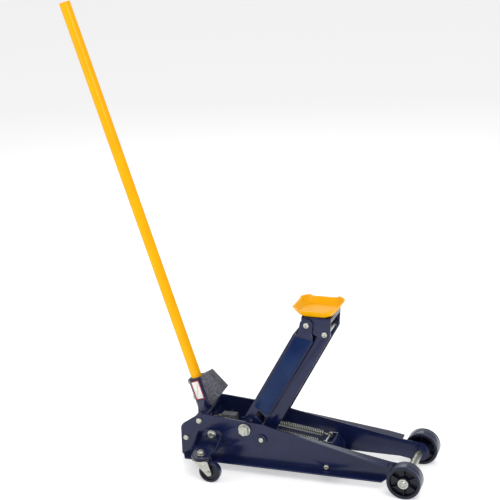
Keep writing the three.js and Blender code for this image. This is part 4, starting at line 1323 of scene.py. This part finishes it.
@dataclass
class LiftArm:
    """The lift arm: two cheeks under a folded cover, with a raised panel pressed into each cheek."""

    panel_start: float = 68.0 * MM
    panel_end: float = 340.0 * MM
    panel_low: float = -37.0 * MM
    panel_high: float = 12.5 * MM
    panel_slant: float = 16.0 * MM
    panel_rise: float = 1.3 * MM
    panel_sink: float = 1.0 * MM
    panel_corner: float = 7.0 * MM
    panel_border: float = 2.0 * MM
    rounding: float = 1.2 * MM

    def build(self) -> None:
        """Models, dresses and mounts the arm."""
        arm = pressed_from("lift_arm")
        soften(arm, self.rounding, 3, 40)
        arm.data.materials.append(NAVY.build())
        head_pin, pivot = node_centre("head_pin_rear_left"), node_centre("lift_shaft")
        place = joint_frame("lift_arm_pivot", Vector((head_pin.x - pivot.x, 0, head_pin.z - pivot.z)))
        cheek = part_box("lift_arm")[1][1]
        panels = [self.panel(side, cheek) for side in Side]
        for panel in panels:
            panel.data.transform(place)
        finish_piece(merge([arm, *panels]), "lift_arm_welded", "lift_arm", ["lift_arm"], NAVY, 40)

    def panel(self, side: Side, cheek: float) -> bpy.types.Object:
        """Models one raised panel, drawn along +X from the arm's pivot.

        Args:
            side: The cheek that it is on.
            cheek: The distance of the cheek's outer face from the middle plane.

        Returns:
            The panel.
        """
        low_y, high_y = sorted((side.value * (cheek - self.panel_sink), side.value * cheek))
        panel = add_box(
            Vector((self.panel_start, low_y, self.panel_low)),
            Vector((self.panel_end, high_y, self.panel_high))
        )
        edit(panel)
        near_end, near_top = self.panel_end - FIT, self.panel_high - FIT
        pick_edges(panel, lambda c, d: c.x > near_end and c.z > near_top and abs(d.y) > 0.9)
        bpy.ops.transform.translate(value=(-self.panel_slant, 0, 0))
        pick_edges(panel, lambda c, d: abs(d.y) > 0.9)
        bpy.ops.mesh.bevel(offset=self.panel_corner, segments=5, affect="EDGES")
        outward = Vector((0, side.value, 0))
        pick_faces(panel, lambda c, n: n.dot(outward) > 0.9)
        bpy.ops.mesh.inset(thickness=self.panel_border, depth=self.panel_rise)
        leave_edit()
        # The panel's border and sides get a darker enamel as painted shade, for the step's shadow.
        panel.data.materials.append(NAVY_LINE_SHADE.build())
        # The panel's outward field gets a bluer enamel as a painted reflection.
        paint(panel, NAVY_PANEL_REFLECTION, lambda c, n: n.dot(outward) > 0.95)
        return panel


@dataclass
class Saddle:
    """The cast saddle: a flared square dish on a short stem, with a low tab at each corner."""

    base_half: float = 45.0 * MM
    foot_half: float = 50.5 * MM
    foot: float = 5.0 * MM
    rim_half: float = 64.5 * MM
    rim_height: float = 22.0 * MM
    wall: float = 6.0 * MM
    floor: float = 7.0 * MM
    floor_half: float = 46.0 * MM
    corner: float = 23.0 * MM
    tab: float = 4.4 * MM
    tab_start: float = 33.0 * MM
    tab_middle: float = 3.0 * MM
    tab_slope: float = 7.0 * MM
    rounding: float = 2.2 * MM
    stem_radius: float = 12.0 * MM
    stem_overlap: float = 1.5 * MM
    seat_gap: float = 0.5 * MM

    def build(self) -> None:
        """Models, dresses and mounts the saddle."""
        low, high = (Vector(c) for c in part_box("saddle"))
        middle = (low + high) / 2
        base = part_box("saddle_head")[1][2] + self.seat_gap
        centre = Vector((middle.x, middle.y, base))
        dish = add_box(
            centre + Vector((-self.base_half, -self.base_half, 0)),
            centre + Vector((self.base_half, self.base_half, self.foot))
        )
        edit(dish)
        pick_edges(dish, lambda c, d: abs(d.z) > 0.9)
        bpy.ops.mesh.bevel(offset=self.corner, segments=8, affect="EDGES")
        self.widen(dish, centre, self.foot, self.foot_half / self.base_half)
        extrude(Vector((0, 0, self.rim_height - self.foot)))
        self.spread(centre, self.rim_height, self.rim_half / self.foot_half)
        bpy.ops.mesh.inset(thickness=self.wall, depth=0)
        extrude(Vector((0, 0, self.floor - self.rim_height)))
        self.spread(centre, self.floor, self.floor_half / (self.rim_half - self.wall))
        self.raise_tabs(dish, centre)
        leave_edit()
        soften(dish, self.rounding, 4, 28)
        length = base - low.z
        stem_middle = centre + Vector((0, 0, (self.stem_overlap + self.seat_gap - length) / 2))
        stem = add_cylinder(stem_middle, Axis.Z, self.stem_radius, length + self.stem_overlap, 40)
        soften(stem, 1.0 * MM, 2)
        finish_piece(merge([dish, stem]), "saddle_casting", "saddle", ["saddle"], YELLOW, 50)

    def widen(self, dish: bpy.types.Object, centre: Vector, level: float, factor: float) -> None:
        """Selects the dish's top face and spreads it.

        Args:
            dish: The dish, in edit mode.
            centre: The middle of its underside.
            level: The face's height above the underside.
            factor: How much wider it becomes.
        """
        pick_faces(dish, lambda c, n: n.z > 0.9 and c.z > centre.z + level - 0.5 * MM)
        self.spread(centre, level, factor)

    def spread(self, centre: Vector, level: float, factor: float) -> None:
        """Scales what is selected about the dish's axis.

        Args:
            centre: The middle of the dish's underside.
            level: The height of the selection above it.
            factor: The scale.
        """
        bpy.ops.transform.resize(
            value=(factor, factor, 1), center_override=tuple(centre + Vector((0, 0, level)))
        )

    def raise_tabs(self, dish: bpy.types.Object, centre: Vector) -> None:
        """Lifts the rim at the four corners.

        Args:
            dish: The dish, in edit mode.
            centre: The middle of its underside.
        """
        outward = (Vector((1, 0, 0)), Vector((-1, 0, 0)), Vector((0, 1, 0)), Vector((0, -1, 0)))
        for reach in (0.0, self.tab_middle, self.tab_slope):
            for normal in outward:
                bpy.ops.mesh.select_all(action="SELECT")
                bpy.ops.mesh.bisect(plane_co=centre + normal * (self.tab_start + reach), plane_no=normal)
        rim = centre.z + self.rim_height - 0.5 * MM
        for reach, share in ((self.tab_middle, 0.35), (self.tab_slope, 0.65)):
            bpy.ops.mesh.select_mode(type="VERT")
            bpy.ops.mesh.select_all(action="DESELECT")
            mesh = bmesh.from_edit_mesh(dish.data)
            for vertex in mesh.verts:
                x, y = abs(vertex.co.x - centre.x), abs(vertex.co.y - centre.y)
                vertex.select_set(vertex.co.z > rim and min(x, y) > self.tab_start + reach - 1 * MM)
            bmesh.update_edit_mesh(dish.data)
            bpy.ops.transform.translate(value=(0, 0, self.tab * share))


@dataclass
class Handle:
    """The handle: a bright tube with a rolled top end round a plug."""

    start: float = 34.0 * MM
    end: float = 1222.0 * MM
    radius: float = 15.5 * MM
    rolled_end: float = 1.5 * MM
    bore_inset: float = 2.5 * MM
    bore_depth: float = 6.0 * MM

    def build(self) -> None:
        """Models, dresses and mounts the tube."""
        length = self.end - self.start - self.rolled_end
        tube = add_cylinder(Vector((0, 0, self.start + length / 2)), Axis.Z, self.radius, length, 64)
        edit(tube)
        turn_end(
            tube,
            Vector((0, 0, 1)),
            [
                (0.5 * MM, 1.0 * MM),
                (1.0 * MM, 0.5 * MM),
                (1.6 * MM, 0.0),
                (0.4 * MM, -1.2 * MM),
                (8.0 * MM, 0.4 * MM),
            ],
        )
        turn_end(tube, Vector((0, 0, -1)), [(self.bore_inset, 0.0), (0.0, -self.bore_depth)])
        leave_edit()
        tube.data.transform(handle_frame())
        finish_piece(tube, "handle_bar", "handle", ["handle_tube"], YELLOW, 40)


@dataclass
class Yoke:
    """The yoke casting: painted socket and crossbar, with a bare rough nose and a blank label."""

    nose_start: float = 22.4 * MM
    nose_half: float = 17.6 * MM
    nose_blend: float = 4.5 * MM
    lip_level: float = 105.4 * MM
    lip_radius: float = 17.9 * MM
    lip_wire: float = 1.6 * MM
    label_half: float = 12.5 * MM
    label_low: float = 44.0 * MM
    label_high: float = 100.0 * MM
    label_face: float = 23.5 * MM
    label_back: float = 22.3 * MM
    label_corner: float = 1.6 * MM
    border: float = 2.4 * MM

    def build(self) -> None:
        """Models, dresses and mounts the yoke and its label."""
        yoke = pressed_from("handle_yoke")
        soften(yoke, 1.3 * MM, 3, 38)
        collar = self.collar()
        yoke = merge([yoke, collar])
        yoke.data.materials.append(NAVY.build())
        into = handle_frame().inverted()
        nose = self.nose_start - self.nose_blend
        paint(yoke, NOSE, lambda c, n: (into @ c).x > nose and abs(c.y) < self.nose_half)
        finish_piece(yoke, "yoke_casting", "yoke", ["handle_yoke"], NAVY, 45)
        self.label()

    def collar(self) -> bpy.types.Object:
        """Models the rolled lip round the mouth of the socket.

        Returns:
            The lip.
        """
        lip = add_ring(Vector((0, 0, self.lip_level)), Axis.Z, self.lip_radius, self.lip_wire, 48)
        lip.data.transform(handle_frame())
        return lip

    def label(self) -> None:
        """Models the blank label: a red border round a white field."""
        label = add_box(
            Vector((-self.label_half, -self.label_face, self.label_low)),
            Vector((self.label_half, -self.label_back, self.label_high)),
        )
        edit(label)
        pick_edges(label, lambda c, d: abs(d.y) > 0.9)
        bpy.ops.mesh.bevel(offset=self.label_corner, segments=4, affect="EDGES")
        pick_faces(label, lambda c, n: n.y < -0.9)
        bpy.ops.mesh.inset(thickness=self.border, depth=0)
        leave_edit()
        label.data.materials.append(RED_INK.build())
        field = self.label_half - self.border - FIT
        middle = (self.label_low + self.label_high) / 2
        tall = self.label_high - middle - self.border
        paint(label, VINYL, lambda c, n: n.y < -0.9 and abs(c.x) < field and abs(c.z - middle) < tall)
        label.data.transform(handle_frame())
        finish_piece(label, "blank_label", "yoke", ["yoke_label"], RED_INK, 30)


@dataclass
class PowerUnit:
    """The power unit: a cast block and reservoir, and its brass filler plug."""

    rounding: float = 1.4 * MM
    plug_radius: float = 10.0 * MM
    plug_height: float = 14.0 * MM
    plug_overlap: float = 1.0 * MM
    shank_radius: float = 6.0 * MM
    seal_radius: float = 7.5 * MM
    seal_wire: float = 0.8 * MM

    def build(self) -> None:
        """Models, dresses and mounts the unit and its plug."""
        unit = pressed_from("power_unit")
        soften(unit, self.rounding, 3, 40)
        finish_piece(unit, "power_unit_casting", "chassis", ["power_unit"], CAST, 40)
        self.plug()

    def plug(self) -> None:
        """Models the oil filler plug, with its seal under a brass hexagon."""
        low, high = (Vector(c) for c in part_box("oil_filler_plug"))
        centre = (low + high) / 2
        seat = high.z - self.plug_height
        shank_top = seat + self.plug_overlap
        head = hexagon(
            Vector((centre.x, centre.y, seat)), Axis.Z, self.plug_radius, self.plug_height, 1.2 * MM
        )
        shank = add_cylinder(
            Vector((centre.x, centre.y, (low.z + shank_top) / 2)), Axis.Z, self.shank_radius,
            shank_top - low.z, 28,
        )
        seal = add_ring(
            Vector((centre.x, centre.y, seat - self.seal_wire / 4)), Axis.Z, self.seal_radius,
            self.seal_wire, 32,
        )
        paint(seal, RUBBER, lambda c, n: True)
        shank.data.materials.append(BRASS.build())
        head.data.materials.append(BRASS.build())
        finish_piece(merge([head, shank, seal]), "filler_plug_brass", "chassis", ["oil_filler_plug"], BRASS)



def pressings() -> list[Pressing]:
    """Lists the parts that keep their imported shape, with rounded edges.

    Returns:
        The parts.
    """
    parts = [
        Pressing("front_cross_member", "cross_member_pressing", "chassis", NAVY),
        Pressing("levelling_link", "levelling_link_pressing", "link", NAVY),
        Pressing("saddle_head", "saddle_head_pressing", "head", NAVY),
        Pressing("rear_spacer", "rear_spacer_tube", "chassis", NAVY, 0.6 * MM),
        Pressing("ram_clevis", "ram_clevis_casting", "ram", CAST),
        Pressing("ram_rod", "ram_rod_plated", "ram", ZINC, 0.6 * MM),
        Pressing("pump_plunger", "pump_plunger_plated", "plunger", ZINC, 0.6 * MM),
        Pressing("handle_set_screw_lower", "yoke_set_screw_lower", "yoke", ZINC, 0.5 * MM),
        Pressing("handle_set_screw_upper", "yoke_set_screw_upper", "yoke", ZINC, 0.5 * MM),
        Pressing("lift_shaft", "lift_shaft_turned", "chassis", STEEL, 0.6 * MM),
        Pressing("crank_pin", "crank_pin_turned", "lift_arm", STEEL, 0.6 * MM),
        Pressing("spring_anchor_rod", "spring_anchor_turned", "chassis", STEEL, 0.5 * MM),
        Pressing("spring_heel_pin", "spring_heel_pin_turned", "link", STEEL, 0.5 * MM),
        Pressing("release_valve_spindle", "valve_spindle_turned", "valve", STEEL, 0.5 * MM),
        Pressing("release_rod", "release_rod_turned", "handle", STEEL, 0.5 * MM),
    ]
    for side in Side:
        word = side.word
        parts += [
            Pressing(f"side_plate_{word}", f"side_plate_pressing_{word}", "chassis", NAVY, 1.1 * MM, 3),
            Pressing(f"caster_bracket_{word}", f"caster_bracket_welded_{word}", "chassis", NAVY, 0.9 * MM),
            Pressing(f"unit_mount_{word}", f"unit_mount_casting_{word}", "chassis", CAST),
            Pressing(
                f"lift_shaft_spacer_{word}", f"lift_shaft_spacer_turned_{word}", "chassis", STEEL, 0.5 * MM
            ),
        ]
    return parts


def assemblies() -> list[Any]:
    """Lists every sub-assembly in the order it is built.

    Returns:
        Objects with a build method.
    """
    parts: list[Any] = [
        LiftArm(), Saddle(), Handle(), Yoke(), PowerUnit(), Axle(), HeadPin("head_pin_front", "link"),
        *pressings()
    ]
    for side in Side:
        parts += [
            FrontWheel(side),
            WheelWasher(side),
            Caster(side),
            HexBolt(
                "lift_shaft_nut", "lift_shaft_bolt", side,
                head_radius=15.5 * MM, washer_radius=18 * MM, shank_radius=10 * MM,
                head_height=11 * MM, washer_height=2.5 * MM,
            ),
            HexBolt(
                "yoke_pivot_bolt", "yoke_pivot_screw", side,
                head_radius=8 * MM, washer_radius=8.5 * MM, shank_radius=6 * MM,
            ),
            HexBolt(
                "rear_spacer_bolt", "rear_spacer_screw", side,
                head_radius=7.5 * MM, washer_radius=8 * MM, shank_radius=5 * MM,
            ),
            HexBolt(
                "cross_member_bolt", "cross_member_screw", side,
                head_radius=7 * MM, washer_radius=7.5 * MM, shank_radius=5 * MM,
            ),
            HexBolt(
                "caster_bracket_bolt", "bracket_screw", side,
                head_radius=11 * MM, washer_radius=13 * MM, shank_radius=6 * MM,
                head_height=6 * MM, washer_height=2 * MM,
            ),
            LinkPivotBolt(side),
            HeadPin(f"head_pin_rear_{side.word}", "lift_arm"),
            ReturnSpring(side),
        ]
    return parts


NODE_FINISHES = {
    "navy_enamel": NAVY,
    "yellow_enamel": YELLOW,
    "zinc_plated_steel": ZINC,
    "machined_steel": STEEL,
    "cast_iron": CAST,
    "wheel_nylon": NYLON,
    "brass": BRASS,
    "label_vinyl": VINYL,
}


def dress_packed_nodes() -> None:
    """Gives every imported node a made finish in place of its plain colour."""
    for name, node in frame["nodes"].items():
        look = next((s.material.name for s in node.material_slots if s.material), "")
        finish = next((f for key, f in NODE_FINISHES.items() if key in look), NAVY)
        for material_slot in node.material_slots:
            material_slot.material = finish.build()
        LOG.info("%s keeps its packed shape, in %s", name, finish.name)


class Studio:
    """A pale floor, soft lights and the camera."""

    FLOOR_SIZE = 80.0
    FLOOR_GLOW = 0.42
    ROOM_LIGHT = 0.5
    LIGHT_TARGET = Vector((0.0, 0.0, 0.35))
    SENSOR = 36.0
    LENS = 105.64
    CAMERA_PLACE = (1.28828, -3.61496, 1.86927)
    CAMERA_RIGHT = Vector((0.94568, 0.32340, -0.03305))
    CAMERA_BACK = Vector((0.31756, -0.89727, 0.30669))

    def __init__(self) -> None:
        """Builds the floor, the lights and the camera."""
        self.floor()
        self.light("key_softbox", (1.6, -2.2, 3.2), 1.8, 62.0)
        self.light("fill_softbox", (-2.6, -1.6, 1.8), 2.0, 22.0)
        self.light("back_softbox", (-0.8, 2.6, 2.6), 2.0, 26.0)
        self.camera()
        self.surround()

    def floor(self) -> None:
        """Lays the pale floor."""
        clear_selection()
        bpy.ops.mesh.primitive_plane_add(size=self.FLOOR_SIZE, location=(0, 0, 0))
        plane = settle(bpy.context.object)
        plane.name = "studio_floor"
        material = bpy.data.materials.new("matt_white_floor")
        material.use_nodes = True
        shader = material.node_tree.nodes["Principled BSDF"]
        shader.inputs["Base Color"].default_value = linear("#F4F4F4")
        shader.inputs["Roughness"].default_value = 0.8
        shader.inputs["Specular IOR Level"].default_value = 0.1
        shader.inputs["Emission Color"].default_value = linear("#FFFFFF")
        shader.inputs["Emission Strength"].default_value = self.FLOOR_GLOW
        plane.data.materials.append(material)

    def light(self, name: str, place: tuple[float, float, float], size: float, watts: float) -> None:
        """Hangs one square soft light that faces the jack.

        Args:
            name: The light's name.
            place: Where it hangs.
            size: The length of its sides.
            watts: Its power.
        """
        data = bpy.data.lights.new(name, "AREA")
        data.size = size
        data.energy = watts
        lamp = bpy.data.objects.new(name, data)
        lamp.location = place
        lamp.rotation_euler = (self.LIGHT_TARGET - Vector(place)).to_track_quat("-Z", "Y").to_euler()
        bpy.context.scene.collection.objects.link(lamp)

    def camera(self) -> None:
        """Sets the camera at its angle above the jack's right side."""
        data = bpy.data.cameras.new("camera")
        data.sensor_width = self.SENSOR
        data.lens = self.LENS
        back = self.CAMERA_BACK.normalized()
        up = back.cross(self.CAMERA_RIGHT.normalized()).normalized()
        right = up.cross(back)
        camera = bpy.data.objects.new("camera", data)
        turn = Matrix((right, up, back)).transposed().to_4x4()
        camera.matrix_world = Matrix.Translation(self.CAMERA_PLACE) @ turn
        bpy.context.scene.collection.objects.link(camera)
        bpy.context.scene.camera = camera

    def surround(self) -> None:
        """Fills the room with even white light."""
        world = bpy.data.worlds.new("white_room")
        world.use_nodes = True
        back = world.node_tree.nodes["Background"]
        back.inputs["Color"].default_value = (1.0, 1.0, 1.0, 1.0)
        back.inputs["Strength"].default_value = self.ROOM_LIGHT
        bpy.context.scene.world = world
        bpy.context.scene.view_settings.view_transform = "Standard"


def main() -> None:
    logging.basicConfig(level=logging.INFO, format="%(message)s")
    dress_packed_nodes()
    for part in assemblies():
        part.build()
    Studio()


if __name__ == "__main__":
    main()
